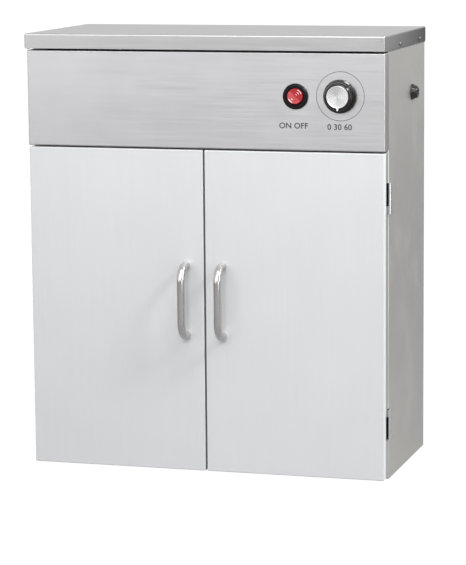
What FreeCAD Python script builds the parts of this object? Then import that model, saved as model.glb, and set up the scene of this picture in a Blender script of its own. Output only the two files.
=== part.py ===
"""Two-door knife sterilizer cabinet of folded stainless sheet, in millimetres.

The cabinet stands on its flat base. +Z is up, the doors face -Y, and the origin is the
middle of the footprint on the floor, from the door faces to the back panel.
"""
import FreeCAD, Part
import math
import os
from FreeCAD import Vector

# Casing
BODY_WIDTH = 500.0
DEPTH = 245.0
HEIGHT = 597.0
CONTROL_HEIGHT = 152.4
SHEET = 0.8
FOLD_RADIUS = 1.6
JOINT_FLANGE = 15.0
STILE_WIDTH = 20.0
SILL_HEIGHT = 20.0
TOP_RAIL_HEIGHT = 28.0

# Top cover and fascia
COVER_SKIRT = 20.0
COVER_OVERHANG = 7.0
COVER_SIDE_GAP = 0.2
COVER_RADIUS = 2.0
HEM_GAP = 0.7
FASCIA_TOP_GAP = 2.6
FASCIA_LIP = 12.0
BACK_PANEL_INSET = 1.0

# Doors, each of two shallow pans joined at their lips
DOOR_THICKNESS = 21.0
DOOR_FRONT_PAN = 10.0
DOOR_BACK_GAP = 1.8
DOOR_TOP_GAP = 2.2
DOOR_BOTTOM_GAP = 2.0
DOOR_CENTRE_GAP = 2.4
DOOR_SIDE_INSET = 1.0
DOOR_LIP = 8.0
DOOR_FOLD_RADIUS = 1.2
SEAL_WIDTH = 8.0
SEAL_INSET = 3.0
SEAL_CLEARANCE = 0.3
EDGE_SEAL = 0.9
EDGE_SEAL_SETBACK = 1.0

# Hinges, two to a door, with the barrel outside the side panel
HINGE_HEIGHT = 40.0
HINGE_DOOR_KNUCKLE = 10.0
HINGE_FROM_DOOR_TOP = 61.4
HINGE_BOTTOM = 75.7
HINGE_OFFSET = 1.0
HINGE_LEAF = 1.4
HINGE_PIN_RADIUS = 1.8
HINGE_FRAME_REACH = 18.0
HINGE_DOOR_REACH = 17.5
HINGE_FOLD_RADIUS = 2.0
PIN_HEAD_RADIUS = 2.6
PIN_HEAD_HEIGHT = 0.8
RUNNING_CLEARANCE = 0.05
KNUCKLE_GAP = 0.3
NOTCH_CLEARANCE = 1.0
NOTCH_DEPTH = 10.0

# Bow handles
HANDLE_DIAMETER = 10.5
HANDLE_SPACING = 96.0
HANDLE_REACH = 26.0
HANDLE_BEND = 20.0
HANDLE_MIDDLE = 238.0
HANDLE_FROM_EDGE = 24.45
HANDLE_SCREW_RADIUS = 2.0
HANDLE_SCREW_HEAD_RADIUS = 3.6
HANDLE_SCREW_HEAD_HEIGHT = 2.4
HANDLE_SCREW_GRIP = 8.0

# Power switch, a round rocker turned in its hole
SWITCH_FROM_SIDE = 121.3
SWITCH_FROM_TOP = 80.5
SWITCH_BEZEL_RADIUS = 17.2
SWITCH_BEZEL_DEPTH = 4.0
SWITCH_BEZEL_CHAMFER = 1.6
SWITCH_BORE_RADIUS = 11.0
SWITCH_BARREL_RADIUS = 13.5
SWITCH_BARREL_DEPTH = 24.0
SWITCH_FLOOR = 4.0
SWITCH_TAB_SPACING = 12.0
SWITCH_TAB_WIDTH = 6.3
SWITCH_TAB_THICKNESS = 0.8
SWITCH_TAB_LENGTH = 8.0
ROCKER_RADIUS = 10.7
ROCKER_RISE = 4.6
ROCKER_DEPTH = 6.0
ROCKER_PIVOT = 1.5
ROCKER_AXLE_RADIUS = 1.2
ROCKER_AXLE_OVERLAP = 1.6
ROCKER_TRAVEL = 20.0
ROCKER_TURN = 45.0
ROCKER_DISH_ANGLE = 9.0

# Timer and its knob
TIMER_FROM_SIDE = 60.4
TIMER_FROM_TOP = 79.6
TIMER_SIZE = 50.0
TIMER_DEPTH = 42.0
TIMER_EDGE_RADIUS = 3.0
TIMER_SCREW_SPACING = 24.0
TIMER_SCREW_RADIUS = 1.5
TIMER_SCREW_HEAD_RADIUS = 2.7
TIMER_SCREW_HEAD_HEIGHT = 0.8
TIMER_SCREW_GRIP = 6.0
TIMER_SHAFT_RADIUS = 3.0
TIMER_SHAFT_SEAT = 12.0
SHAFT_FLAT = 1.0
SHAFT_HOLE_RADIUS = 5.0
KNOB_RADIUS = 22.3
KNOB_SKIRT = 3.2
KNOB_WAIST_RADIUS = 19.0
KNOB_TOP_RADIUS = 17.0
KNOB_SKIRT_RISE = 0.8
KNOB_HEIGHT = 15.4
KNOB_STAND_OFF = 1.2
KNOB_EDGE_RADIUS = 0.8
KNOB_SHAFT_ENGAGEMENT = 10.0
KNOB_HOLLOW_DEPTH = 2.0
KNOB_HOLLOW_RADIUS = 17.5
KNOB_CAP_RADIUS = 15.4
KNOB_CAP_THICKNESS = 1.2
KNOB_CAP_RISE = 0.4
KNOB_CAP_CHAMFER = 0.3

# Cable gland in the right side
GLAND_FROM_FACE = 163.0
GLAND_FROM_TOP = 85.2
GLAND_RADIUS = 10.8
GLAND_FLANGE = 3.0
GLAND_DOME = 5.6
GLAND_DOME_RADIUS = 8.2
GLAND_NECK_RADIUS = 9.4
GLAND_DOME_EDGE_RADIUS = 2.2
GLAND_EDGE_RADIUS = 0.6
GLAND_BORE_RADIUS = 3.6
GLAND_THREAD_RADIUS = 7.6
GLAND_TAIL = 9.0
GLAND_NUT_SIZE = 22.0
GLAND_NUT_THICKNESS = 4.0

# Knife combs, two alike, on ledges welded to the sides
COMB_SHEET = 1.2
COMB_SLOTS = 10
COMB_SLOT_WIDTH = 8.0
COMB_SLOT_LENGTH = 104.0
COMB_DEPTH = 128.0
COMB_SIDE_GAP = 28.2
COMB_END_MARGIN = 28.0
COMB_FOLD_RADIUS = 3.0
COMB_NOSE = 9.0
COMB_BACK_FLANGE = 18.0
COMB_MOUTH_RADIUS = 7.0
COMB_FRONT_GAP = 12.0
UPPER_COMB_Z = 300.0
LOWER_COMB_Z = 112.0
LEDGE_SHEET = 1.2
LEDGE_HEIGHT = 18.0
LEDGE_OVERLAP = 12.0
LEDGE_FOLD_RADIUS = 2.4
LEDGE_END_CLEARANCE = 0.5

# Ultraviolet lamp on its batten, behind a wire guard
LAMP_FROM_SIDE = 31.5
LAMP_RADIUS = 13.0
LAMP_GLASS_WALL = 1.0
LAMP_CAP_LENGTH = 8.0
LAMP_CAP_WALL = 0.3
LAMP_CAP_THICKNESS = 1.0
LAMP_Z = 206.0
LAMP_FROM_BATTEN = 25.0
LAMP_PIN_LENGTH = 7.0
LAMP_PIN_RADIUS = 1.2
LAMP_PIN_SPACING = 12.7
HOLDER_THICKNESS = 11.0
HOLDER_WIDTH = 25.0
BATTEN_HEIGHT = 44.0
BATTEN_DEPTH = 12.0
BATTEN_END = 5.0
REFLECTOR_SHEET = 0.5
REFLECTOR_MOUTH = 84.0
REFLECTOR_RISE = 11.0
GUARD_WIRE_RADIUS = 1.4
GUARD_HOOPS = 7
GUARD_CLEARANCE = 6.0
GUARD_HALF_HEIGHT = 18.0
GUARD_BEND = 8.0
GUARD_WELD = 0.5
GUARD_END_MARGIN = 20.0
GUARD_RAIL_END = 4.0
DUCT_WIDTH = 18.0
DUCT_DEPTH = 11.0
DUCT_FROM_SIDE = 64.0

# Drip tray
TRAY_SIDE_GAP = 25.2
TRAY_DEPTH = 152.0
TRAY_HEIGHT = 16.0
TRAY_CORNER = 8.0
TRAY_FLOOR_RADIUS = 3.0
TRAY_SHEET = 0.8
TRAY_FRONT_GAP = 8.0
TRAY_RIM = 5.0

# Catch and door switches on the top rail
RAIL_FITTINGS_DROP = 20.6
POLE_WIDTH = 16.0
POLE_HEIGHT = 6.0
POLE_FROM_SEAL = 4.0
CATCH_WALL = 3.0
CATCH_HEIGHT = 12.0
CATCH_DEPTH = 16.0
CATCH_EDGE_RADIUS = 1.0
CATCH_GAP = 0.3
STRIKE_THICKNESS = 1.2
STRIKE_OVERLAP = 2.0
WINDOW_CLEARANCE = 0.3
DOOR_SWITCH_X = 62.0
DOOR_SWITCH_SIZE = 13.0
DOOR_SWITCH_DEPTH = 22.0
PLUNGER_RADIUS = 2.2
PLUNGER_TRAVEL = 3.0
PLUNGER_GAP = 0.3
PLUNGER_GRIP = 5.0
PLUNGER_SPARE = 2.0

# Electrical parts on the chamber ceiling
BALLAST_LENGTH = 130.0
BALLAST_WIDTH = 40.0
BALLAST_HEIGHT = 30.0
BALLAST_FOOT = 12.0
BALLAST_FOOT_SHEET = 1.5
BALLAST_X = -120.0
BALLAST_FROM_BACK = 80.0
STARTER_RADIUS = 10.7
STARTER_LENGTH = 36.0
STARTER_X = -10.0
STARTER_FROM_BACK = 80.0
STARTER_BASE_HEIGHT = 14.0
STARTER_BASE_RADIUS = 14.0
STARTER_SEAT = 8.0
TERMINAL_PITCH = 10.0
TERMINAL_WAYS = 6
TERMINAL_WIDTH = 20.0
TERMINAL_HEIGHT = 15.0
TERMINAL_WELL = 5.0
TERMINAL_WELL_RADIUS = 2.6
TERMINAL_X = 80.0
TERMINAL_FROM_BACK = 60.0
GROMMET_RADIUS = 7.0
GROMMET_LIP = 2.0
GROMMET_LIP_THICKNESS = 1.6
GROMMET_BORE_RADIUS = 5.0
WIRE_RADIUS = 1.5
LEAD_BEND = 5.0
LEAD_SPACING = 4.0
LEAD_LOOP = 14.0
LEAD_SEAT = 3.0
LEAD_HEIGHT = 7.0
LEAD_FROM_BACK = 8.3

# Fasteners and wall holes
SCREW_RADIUS = 1.6
SCREW_HEAD_RADIUS = 3.2
SCREW_HEAD_HEIGHT = 1.6
SCREW_LENGTH = 5.0
COVER_SCREW_FROM_FACE = 86.0
COVER_SCREW_FROM_BACK = 38.0
COVER_SCREW_RISE = 5.0
FASCIA_SCREW_INSET = 20.0
BACK_SCREW_EDGE = 8.0
BACK_SCREW_INSET = 30.0
BACK_SCREW_ROWS = 4
WALL_HOLE_RADIUS = 3.5
WALL_HOLE_SPACING = 400.0
WALL_HOLE_FROM_TOP = 40.0

# Planes that several pieces share
X_SIDE = BODY_WIDTH / 2
X_SIDE_INNER = X_SIDE - SHEET
X_STILE = X_SIDE - STILE_WIDTH
Y_FACE = -DEPTH / 2
Y_BACK = DEPTH / 2
Y_BACK_INNER = Y_BACK - SHEET
Y_DOOR_BACK = Y_FACE + DOOR_THICKNESS
Y_DOOR_SEAM = Y_FACE + DOOR_FRONT_PAN
Y_BODY = Y_DOOR_BACK + DOOR_BACK_GAP
Z_CEILING = HEIGHT - CONTROL_HEIGHT
Z_CEILING_TOP = Z_CEILING + SHEET
Z_CASE_TOP = HEIGHT - SHEET
Z_WALL_TOP = Z_CASE_TOP - FOLD_RADIUS
Z_SKIRT = HEIGHT - COVER_SKIRT
Z_FASCIA_TOP = Z_SKIRT - FASCIA_TOP_GAP
DOOR_TOP = Z_CEILING - DOOR_TOP_GAP
DOOR_OUTER = X_SIDE - DOOR_SIDE_INSET
DOOR_INNER = DOOR_CENTRE_GAP / 2
HINGE_TOP = DOOR_TOP - HINGE_FROM_DOOR_TOP
HINGE_X = X_SIDE + HINGE_OFFSET
HINGE_Y = Y_BODY - DOOR_BACK_GAP / 2
HINGE_BORE = HINGE_PIN_RADIUS + RUNNING_CLEARANCE
HINGE_BARREL = HINGE_BORE + HINGE_LEAF
HANDLE_X = DOOR_INNER + HANDLE_FROM_EDGE
Z_FITTINGS = Z_CEILING - RAIL_FITTINGS_DROP
POLE_X = DOOR_INNER - EDGE_SEAL + SEAL_WIDTH + POLE_FROM_SEAL
PLUNGER_SEAT = PLUNGER_GRIP + PLUNGER_TRAVEL
CATCH_PROUD = DOOR_BACK_GAP - STRIKE_THICKNESS - CATCH_GAP
Y_BATTEN = Y_BACK_INNER - BATTEN_DEPTH
LAMP_Y = Y_BATTEN - LAMP_FROM_BATTEN
LAMP_END = X_SIDE - LAMP_FROM_SIDE
BATTEN_X = LAMP_END + HOLDER_THICKNESS + BATTEN_END
DUCT_X = X_SIDE - DUCT_FROM_SIDE
COMB_Y = Y_BODY + COMB_FRONT_GAP
COMB_WIDTH = 2 * (X_SIDE_INNER - COMB_SIDE_GAP)
COMB_PITCH = (COMB_WIDTH - COMB_SLOT_WIDTH - 2 * COMB_END_MARGIN) / (COMB_SLOTS - 1)
SWITCH_X = X_SIDE - SWITCH_FROM_SIDE
SWITCH_Z = HEIGHT - SWITCH_FROM_TOP
TIMER_X = X_SIDE - TIMER_FROM_SIDE
TIMER_Z = HEIGHT - TIMER_FROM_TOP
GLAND_Z = HEIGHT - GLAND_FROM_TOP
KNOB_BACK = Y_FACE - KNOB_STAND_OFF
KNOB_FRONT = KNOB_BACK - KNOB_HEIGHT
ROCKER_CENTRE = Vector(SWITCH_X, Y_FACE - ROCKER_PIVOT, SWITCH_Z)

X = Vector(1, 0, 0)
Y = Vector(0, 1, 0)
Z = Vector(0, 0, 1)
ORIGIN = Vector(0, 0, 0)


# Shapes


def box(x0, x1, y0, y1, z0, z1):
    """Block between two corners, given in either order."""
    low = Vector(min(x0, x1), min(y0, y1), min(z0, z1))
    return Part.makeBox(abs(x1 - x0), abs(y1 - y0), abs(z1 - z0), low)


def rod(radius, start, end):
    """Cylinder from one point to another."""
    axis = end - start
    return Part.makeCylinder(radius, axis.Length, start, axis)


def mirrored(shape):
    """The same piece for the other side of the cabinet."""
    return shape.mirror(ORIGIN, X)


def fused(shapes):
    """One solid from pieces that meet."""
    whole = shapes[0]
    for shape in shapes[1:]:
        whole = whole.fuse(shape)
    return whole.removeSplitter()


def without(shape, cutters):
    """The shape with every cutter taken out of it."""
    for cutter in cutters:
        shape = shape.cut(cutter)
    return shape


def rounded_edges(points, radii, closed):
    """Lines through the points, with an arc of the given radius at each corner."""
    count = len(points)
    entries, exits, middles = [], [], []
    for i, point in enumerate(points):
        is_end = not closed and i in (0, count - 1)
        if is_end or radii[i] < 0.01:
            entries.append(point)
            exits.append(point)
            middles.append(None)
            continue
        before = (points[i - 1] - point).normalize()
        after = (points[(i + 1) % count] - point).normalize()
        half = before.getAngle(after) / 2
        bisector = (before + after).normalize()
        setback = radii[i] / math.tan(half)
        entries.append(point + before * setback)
        exits.append(point + after * setback)
        middles.append(point + bisector * (radii[i] / math.sin(half) - radii[i]))
    edges = []
    for i in range(count):
        if middles[i] is not None:
            edges.append(Part.Arc(entries[i], middles[i], exits[i]).toShape())
        if closed or i < count - 1:
            target = entries[(i + 1) % count]
            if exits[i].distanceToPoint(target) > 1e-6:
                edges.append(Part.LineSegment(exits[i], target).toShape())
    return edges


def outline(points, radii):
    """Flat face bounded by the points, with rounded corners."""
    return Part.Face(Part.Wire(rounded_edges(points, radii, True)))


def folded_sheet(points, thickness, radius, normal, extrusion):
    """Sheet folded along a line of points and drawn out sideways.

    The sheet lies to the left of the line, seen with normal pointing at the viewer, and
    radius is the outside radius of each fold.
    """
    far_side, near_radii, far_radii = [], [], []
    for i, point in enumerate(points):
        here = points[i] - points[i - 1] if i > 0 else points[1] - points[0]
        there = points[i + 1] - points[i] if i < len(points) - 1 else here
        left_here = normal.cross(here).normalize()
        left_there = normal.cross(there).normalize()
        miter = (left_here + left_there).normalize()
        far_side.append(point + miter * (thickness / miter.dot(left_here)))
        turns_left = here.cross(there).dot(normal) > 0
        near_radii.append(radius if turns_left else radius - thickness)
        far_radii.append(radius - thickness if turns_left else radius)
    edges = rounded_edges(points, near_radii, False)
    edges += rounded_edges(far_side, far_radii, False)
    edges.append(Part.LineSegment(points[0], far_side[0]).toShape())
    edges.append(Part.LineSegment(points[-1], far_side[-1]).toShape())
    return Part.Face(Part.Wire(Part.sortEdges(edges)[0])).extrude(extrusion)


def tube(points, bends, radius):
    """Round bar or wire along straight runs joined by arcs."""
    radii = [0.0] + [bends] * (len(points) - 2) + [0.0]
    path = Part.Wire(rounded_edges(points, radii, False))
    circle = Part.makeCircle(radius, points[0], points[1] - points[0])
    return path.makePipeShell([Part.Wire(circle)], True, False)


def rounded_box(x0, x1, y0, y1, z0, z1, radius, axis, open_place):
    """Block with all its edges rounded, except those round its open face."""
    block = box(x0, x1, y0, y1, z0, z1)
    if radius < 0.05:
        return block
    edges = [edge for edge in block.Edges
             if abs(edge.CenterOfMass[axis] - open_place) > 1e-6]
    return block.makeFillet(radius, edges)


def pan(x0, x1, z0, z1, y_shut, y_open, radius, lip):
    """Folded door pan, shut at one end of Y, with a lip turned in round its open end."""
    step = SHEET if y_open > y_shut else -SHEET
    outside = rounded_box(x0, x1, y_shut, y_open, z0, z1, radius, 1, y_open)
    hollow = rounded_box(
        x0 + SHEET, x1 - SHEET, y_shut + step, y_open - step, z0 + SHEET, z1 - SHEET,
        radius - SHEET, 1, y_open - step)
    mouth = box(x0 + lip, x1 - lip, y_open - 2 * step, y_open + step, z0 + lip, z1 - lip)
    return outside.cut(hollow).cut(mouth)


def screw(seat, direction, head_radius, head_height, shank_radius, shank_length):
    """Pan-headed screw: its head lies on the seat, and its shank runs along direction."""
    head = rod(head_radius, seat, seat - direction * head_height)
    crown = [edge for edge in head.Edges
             if len(edge.Vertexes) == 1 and (edge.CenterOfMass - seat).dot(direction) < -1e-6]
    head = head.makeFillet(head_height * 0.45, crown)
    return head.fuse(rod(shank_radius, seat, seat + direction * shank_length)).removeSplitter()


def sheet_screw(seat, direction):
    """One of the casing's small screws."""
    return screw(seat, direction, SCREW_HEAD_RADIUS, SCREW_HEAD_HEIGHT, SCREW_RADIUS, SCREW_LENGTH)


def sheet_screw_hole(seat, direction):
    """Hole for the shank of one of the casing's small screws."""
    return rod(SCREW_RADIUS, seat - direction * SHEET, seat + direction * SCREW_LENGTH)


# Places of fasteners


def cover_screw_seats():
    """Points on the cover's right skirt where its screws sit."""
    x = X_SIDE + COVER_SIDE_GAP + SHEET
    z = Z_SKIRT + COVER_SCREW_RISE
    return [Vector(x, y, z)
            for y in (Y_FACE + COVER_SCREW_FROM_FACE, Y_BACK - COVER_SCREW_FROM_BACK)]


def fascia_screw_seats():
    """Points behind the right stile where screws reach into the fascia's lip."""
    x = X_SIDE - FASCIA_LIP / 2
    return [Vector(x, Y_BODY + SHEET, z)
            for z in (Z_CEILING + FASCIA_SCREW_INSET, Z_FASCIA_TOP - FASCIA_SCREW_INSET)]


def back_screw_seats():
    """Points down the right edge of the back panel, over the side's back flange."""
    step = (Z_SKIRT - 2 * BACK_SCREW_INSET) / (BACK_SCREW_ROWS - 1)
    return [Vector(X_SIDE - BACK_SCREW_EDGE, Y_BACK, BACK_SCREW_INSET + row * step)
            for row in range(BACK_SCREW_ROWS)]


def gland_point(out):
    """Point on the cable gland's axis, so far outside the right side panel."""
    return Vector(X_SIDE + out, Y_FACE + GLAND_FROM_FACE, GLAND_Z)


def hinge_spans():
    """Heights of each hinge: the whole, the frame's knuckle and the door's knuckle.

    The two hinges of a door stand opposite ways up, so the door can't be lifted off.
    """
    half = HINGE_HEIGHT / 2
    upper_low, upper_high = HINGE_TOP - half, HINGE_TOP + half
    lower_low, lower_high = HINGE_BOTTOM - half, HINGE_BOTTOM + half
    upper_split = upper_low + HINGE_DOOR_KNUCKLE
    lower_split = lower_high - HINGE_DOOR_KNUCKLE
    return [
        ((upper_low, upper_high), (upper_split + KNUCKLE_GAP, upper_high),
         (upper_low, upper_split)),
        ((lower_low, lower_high), (lower_low, lower_split - KNUCKLE_GAP),
         (lower_split, lower_high)),
    ]


# Casing


def bare_side_panel():
    """Right side, folded in at the front as the door stile, at the back and at the top."""
    path = [
        Vector(X_STILE, Y_BODY, 0),
        Vector(X_SIDE, Y_BODY, 0),
        Vector(X_SIDE, Y_BACK_INNER, 0),
        Vector(X_SIDE - JOINT_FLANGE, Y_BACK_INNER, 0),
    ]
    wall = folded_sheet(path, SHEET, FOLD_RADIUS, Z, Z * Z_WALL_TOP)
    y0, y1 = Y_BODY + FOLD_RADIUS, Y_BACK_INNER - FOLD_RADIUS
    top_path = [
        Vector(X_SIDE, y0, Z_WALL_TOP - SHEET),
        Vector(X_SIDE, y0, Z_CASE_TOP),
        Vector(X_SIDE_INNER - JOINT_FLANGE, y0, Z_CASE_TOP),
    ]
    top_flange = folded_sheet(top_path, SHEET, FOLD_RADIUS, -Y, Y * (y1 - y0))
    cutters = []
    reach = HINGE_BARREL + NOTCH_CLEARANCE
    for span, _, _ in hinge_spans():
        cutters.append(box(
            HINGE_X - reach, X_SIDE + SHEET, Y_BODY - SHEET, HINGE_Y + reach,
            span[0] - NOTCH_CLEARANCE, span[1] + NOTCH_CLEARANCE))
    for seat in cover_screw_seats():
        cutters.append(sheet_screw_hole(seat, -X))
    for seat in fascia_screw_seats():
        cutters.append(sheet_screw_hole(seat, -Y))
    for seat in back_screw_seats():
        cutters.append(sheet_screw_hole(seat, -Y))
    return without(wall.fuse(top_flange), cutters).removeSplitter()


def right_side_panel():
    """The right side carries the cable gland near its top and back."""
    hole = rod(GLAND_THREAD_RADIUS, gland_point(-2 * SHEET), gland_point(SHEET))
    return bare_side_panel().cut(hole)


def back_panel():
    """Flat sheet over the back flanges, with two wall holes behind the control space."""
    x = X_SIDE - BACK_PANEL_INSET
    sheet = box(-x, x, Y_BACK_INNER, Y_BACK, 0, Z_WALL_TOP)
    cutters = []
    for x in (-WALL_HOLE_SPACING / 2, WALL_HOLE_SPACING / 2):
        place = Vector(x, Y_BACK_INNER - SHEET, HEIGHT - WALL_HOLE_FROM_TOP)
        cutters.append(rod(WALL_HOLE_RADIUS, place, place + Y * (3 * SHEET)))
    for seat in back_screw_seats():
        cutters.append(sheet_screw_hole(seat, -Y))
        cutters.append(mirrored(sheet_screw_hole(seat, -Y)))
    return without(sheet, cutters)


def sheet_between_sides(points, normal, z_wing, z_wing_flange):
    """Folded sheet between the stiles, with flanged wings that reach the side panels."""
    parts = [folded_sheet(points, SHEET, FOLD_RADIUS, normal, X * (2 * X_STILE))]
    y0, y1 = Y_BODY + FOLD_RADIUS, Y_BACK_INNER - FOLD_RADIUS
    wing = box(X_STILE, X_SIDE_INNER, y0, y1, z_wing, z_wing + SHEET)
    flange = box(X_SIDE_INNER - SHEET, X_SIDE_INNER, y0, y1, z_wing, z_wing_flange)
    for part in (wing, flange):
        parts.append(part)
        parts.append(mirrored(part))
    return fused(parts)


def base_panel():
    """Bottom sheet, folded up in front as the sill and up behind."""
    x = -X_STILE
    path = [
        Vector(x, Y_BODY, SILL_HEIGHT),
        Vector(x, Y_BODY, 0),
        Vector(x, Y_BACK_INNER, 0),
        Vector(x, Y_BACK_INNER, JOINT_FLANGE),
    ]
    return sheet_between_sides(path, X, 0, JOINT_FLANGE)


def chamber_ceiling():
    """Sheet between chamber and control space, folded down in front as the top rail."""
    x = -X_STILE
    path = [
        Vector(x, Y_BODY, Z_CEILING - TOP_RAIL_HEIGHT),
        Vector(x, Y_BODY, Z_CEILING_TOP),
        Vector(x, Y_BACK_INNER - SHEET, Z_CEILING_TOP),
        Vector(x, Y_BACK_INNER - SHEET, Z_CEILING + JOINT_FLANGE),
    ]
    sheet = sheet_between_sides(path, -X, Z_CEILING, Z_CEILING + JOINT_FLANGE)
    cutters = [rod(GROMMET_RADIUS, grommet_centre() - Z * SHEET, grommet_centre() + Z * (2 * SHEET))]
    for side in (-1, 1):
        cutters.append(pole_block(side, WINDOW_CLEARANCE, Y_BODY - SHEET, Y_BODY + 2 * SHEET))
        place = Vector(side * DOOR_SWITCH_X, Y_BODY, Z_FITTINGS)
        cutters.append(rod(PLUNGER_RADIUS + WINDOW_CLEARANCE, place - Y * SHEET, place + Y * (2 * SHEET)))
    return without(sheet, cutters)


def top_cover():
    """Lid with a skirt all round, a front overhang and a hem under the overhang."""
    x = X_SIDE + COVER_SIDE_GAP + SHEET
    y0 = Y_FACE - COVER_OVERHANG
    y1 = Y_BACK + COVER_SIDE_GAP + SHEET
    outside = rounded_box(-x, x, y0, y1, Z_SKIRT, HEIGHT, COVER_RADIUS, 2, Z_SKIRT)
    hollow = rounded_box(
        SHEET - x, x - SHEET, y0 + SHEET, y1 - SHEET, Z_SKIRT - SHEET, Z_CASE_TOP,
        COVER_RADIUS - SHEET, 2, Z_SKIRT - SHEET)
    inner = x - COVER_RADIUS
    hem = box(-inner, inner, y0 + SHEET / 2, Y_FACE - HEM_GAP, Z_SKIRT, Z_SKIRT + SHEET)
    holes = []
    for seat in cover_screw_seats():
        holes.append(sheet_screw_hole(seat, -X))
        holes.append(mirrored(sheet_screw_hole(seat, -X)))
    return without(outside.cut(hollow).fuse(hem).removeSplitter(), holes)


def fascia_panel():
    """Control panel as deep as the doors, with a lip at the back for its screws."""
    panel = pan(-X_SIDE, X_SIDE, Z_CEILING, Z_FASCIA_TOP, Y_FACE, Y_BODY, FOLD_RADIUS, FASCIA_LIP)
    y0, y1 = Y_FACE - SHEET, Y_FACE + 2 * SHEET
    cutters = [
        rod(SWITCH_BARREL_RADIUS, Vector(SWITCH_X, y0, SWITCH_Z), Vector(SWITCH_X, y1, SWITCH_Z)),
        rod(SHAFT_HOLE_RADIUS, Vector(TIMER_X, y0, TIMER_Z), Vector(TIMER_X, y1, TIMER_Z)),
    ]
    for seat in timer_screw_seats():
        cutters.append(rod(TIMER_SCREW_RADIUS, seat - Y * SHEET, seat + Y * (2 * SHEET)))
    for seat in fascia_screw_seats():
        cutters.append(sheet_screw_hole(seat, -Y))
        cutters.append(mirrored(sheet_screw_hole(seat, -Y)))
    return without(panel, cutters)


# Doors, modelled on the right and mirrored


def door_notches():
    """Clearance round the barrels at the door's back edge, deep beside the frame's knuckles."""
    reach = HINGE_BARREL + NOTCH_CLEARANCE
    notches = []
    for whole, frame, _ in hinge_spans():
        for span, depth in ((whole, reach), (frame, NOTCH_DEPTH)):
            notches.append(box(HINGE_X - reach, X_SIDE + SHEET, HINGE_Y - depth, Y_BODY,
                               span[0] - NOTCH_CLEARANCE, span[1] + NOTCH_CLEARANCE))
    return notches


def lip_pockets():
    """Gaps in the lips of the two pans, where a hinge leaf passes between them."""
    x0 = DOOR_OUTER - DOOR_LIP - SHEET
    x1 = DOOR_OUTER - SHEET
    return [box(x0, x1, Y_DOOR_SEAM - SHEET, Y_DOOR_SEAM + SHEET,
                span[0] - NOTCH_CLEARANCE, span[1] + NOTCH_CLEARANCE)
            for span, _, _ in hinge_spans()]


def handle_feet():
    """Points on the door's face where the handle's ends stand."""
    return [Vector(HANDLE_X, Y_FACE, HANDLE_MIDDLE + side * HANDLE_SPACING / 2)
            for side in (1, -1)]


def door_front():
    """Outer pan of the door."""
    front = pan(DOOR_INNER, DOOR_OUTER, DOOR_BOTTOM_GAP, DOOR_TOP, Y_FACE, Y_DOOR_SEAM,
                DOOR_FOLD_RADIUS, DOOR_LIP)
    holes = [rod(HANDLE_SCREW_RADIUS, foot - Y * SHEET, foot + Y * (2 * SHEET))
             for foot in handle_feet()]
    return without(front, holes + lip_pockets())


def door_liner():
    """Inner pan of the door, notched for the hinge barrels."""
    liner = pan(DOOR_INNER, DOOR_OUTER, DOOR_BOTTOM_GAP, DOOR_TOP, Y_DOOR_BACK, Y_DOOR_SEAM,
                DOOR_FOLD_RADIUS, DOOR_LIP)
    return without(liner, door_notches() + lip_pockets())


def door_seal():
    """Rubber frame on the liner, wrapped round the door's free edge."""
    x0 = DOOR_INNER - EDGE_SEAL
    x1 = DOOR_OUTER - SEAL_INSET
    z0 = DOOR_BOTTOM_GAP + SEAL_INSET
    z1 = DOOR_TOP - SEAL_INSET
    y1 = Y_BODY - SEAL_CLEARANCE
    frame = box(x0, x1, Y_DOOR_BACK, y1, z0, z1)
    window = box(x0 + SEAL_WIDTH, x1 - SEAL_WIDTH, Y_DOOR_BACK - SHEET, y1 + SHEET,
                 z0 + SEAL_WIDTH, z1 - SEAL_WIDTH)
    edge = box(x0, DOOR_INNER, Y_DOOR_SEAM + EDGE_SEAL_SETBACK, y1, z0, z1)
    return frame.cut(window).fuse(edge).removeSplitter()


def door_handle():
    """Round bar bent into a bow, drilled at its feet for the screws."""
    top, bottom = handle_feet()
    out = -Y * HANDLE_REACH
    bow = tube([top, top + out, bottom + out, bottom], HANDLE_BEND, HANDLE_DIAMETER / 2)
    holes = [rod(HANDLE_SCREW_RADIUS, foot + Y * SHEET, foot - Y * HANDLE_SCREW_GRIP)
             for foot in handle_feet()]
    return without(bow, holes)


def handle_screws():
    """Screws from inside the door into the handle's feet."""
    return [screw(foot + Y * SHEET, -Y, HANDLE_SCREW_HEAD_RADIUS, HANDLE_SCREW_HEAD_HEIGHT,
                  HANDLE_SCREW_RADIUS, HANDLE_SCREW_GRIP + SHEET)
            for foot in handle_feet()]


def strike_plate():
    """Steel plate on the liner that the catch's poles hold."""
    half = POLE_HEIGHT / 2 + STRIKE_OVERLAP
    x1 = POLE_X + POLE_WIDTH + STRIKE_OVERLAP
    return box(POLE_X - STRIKE_OVERLAP, x1, Y_DOOR_BACK, Y_DOOR_BACK + STRIKE_THICKNESS,
               Z_FITTINGS - half, Z_FITTINGS + half)


# Hinges, modelled on the right and mirrored


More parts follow.
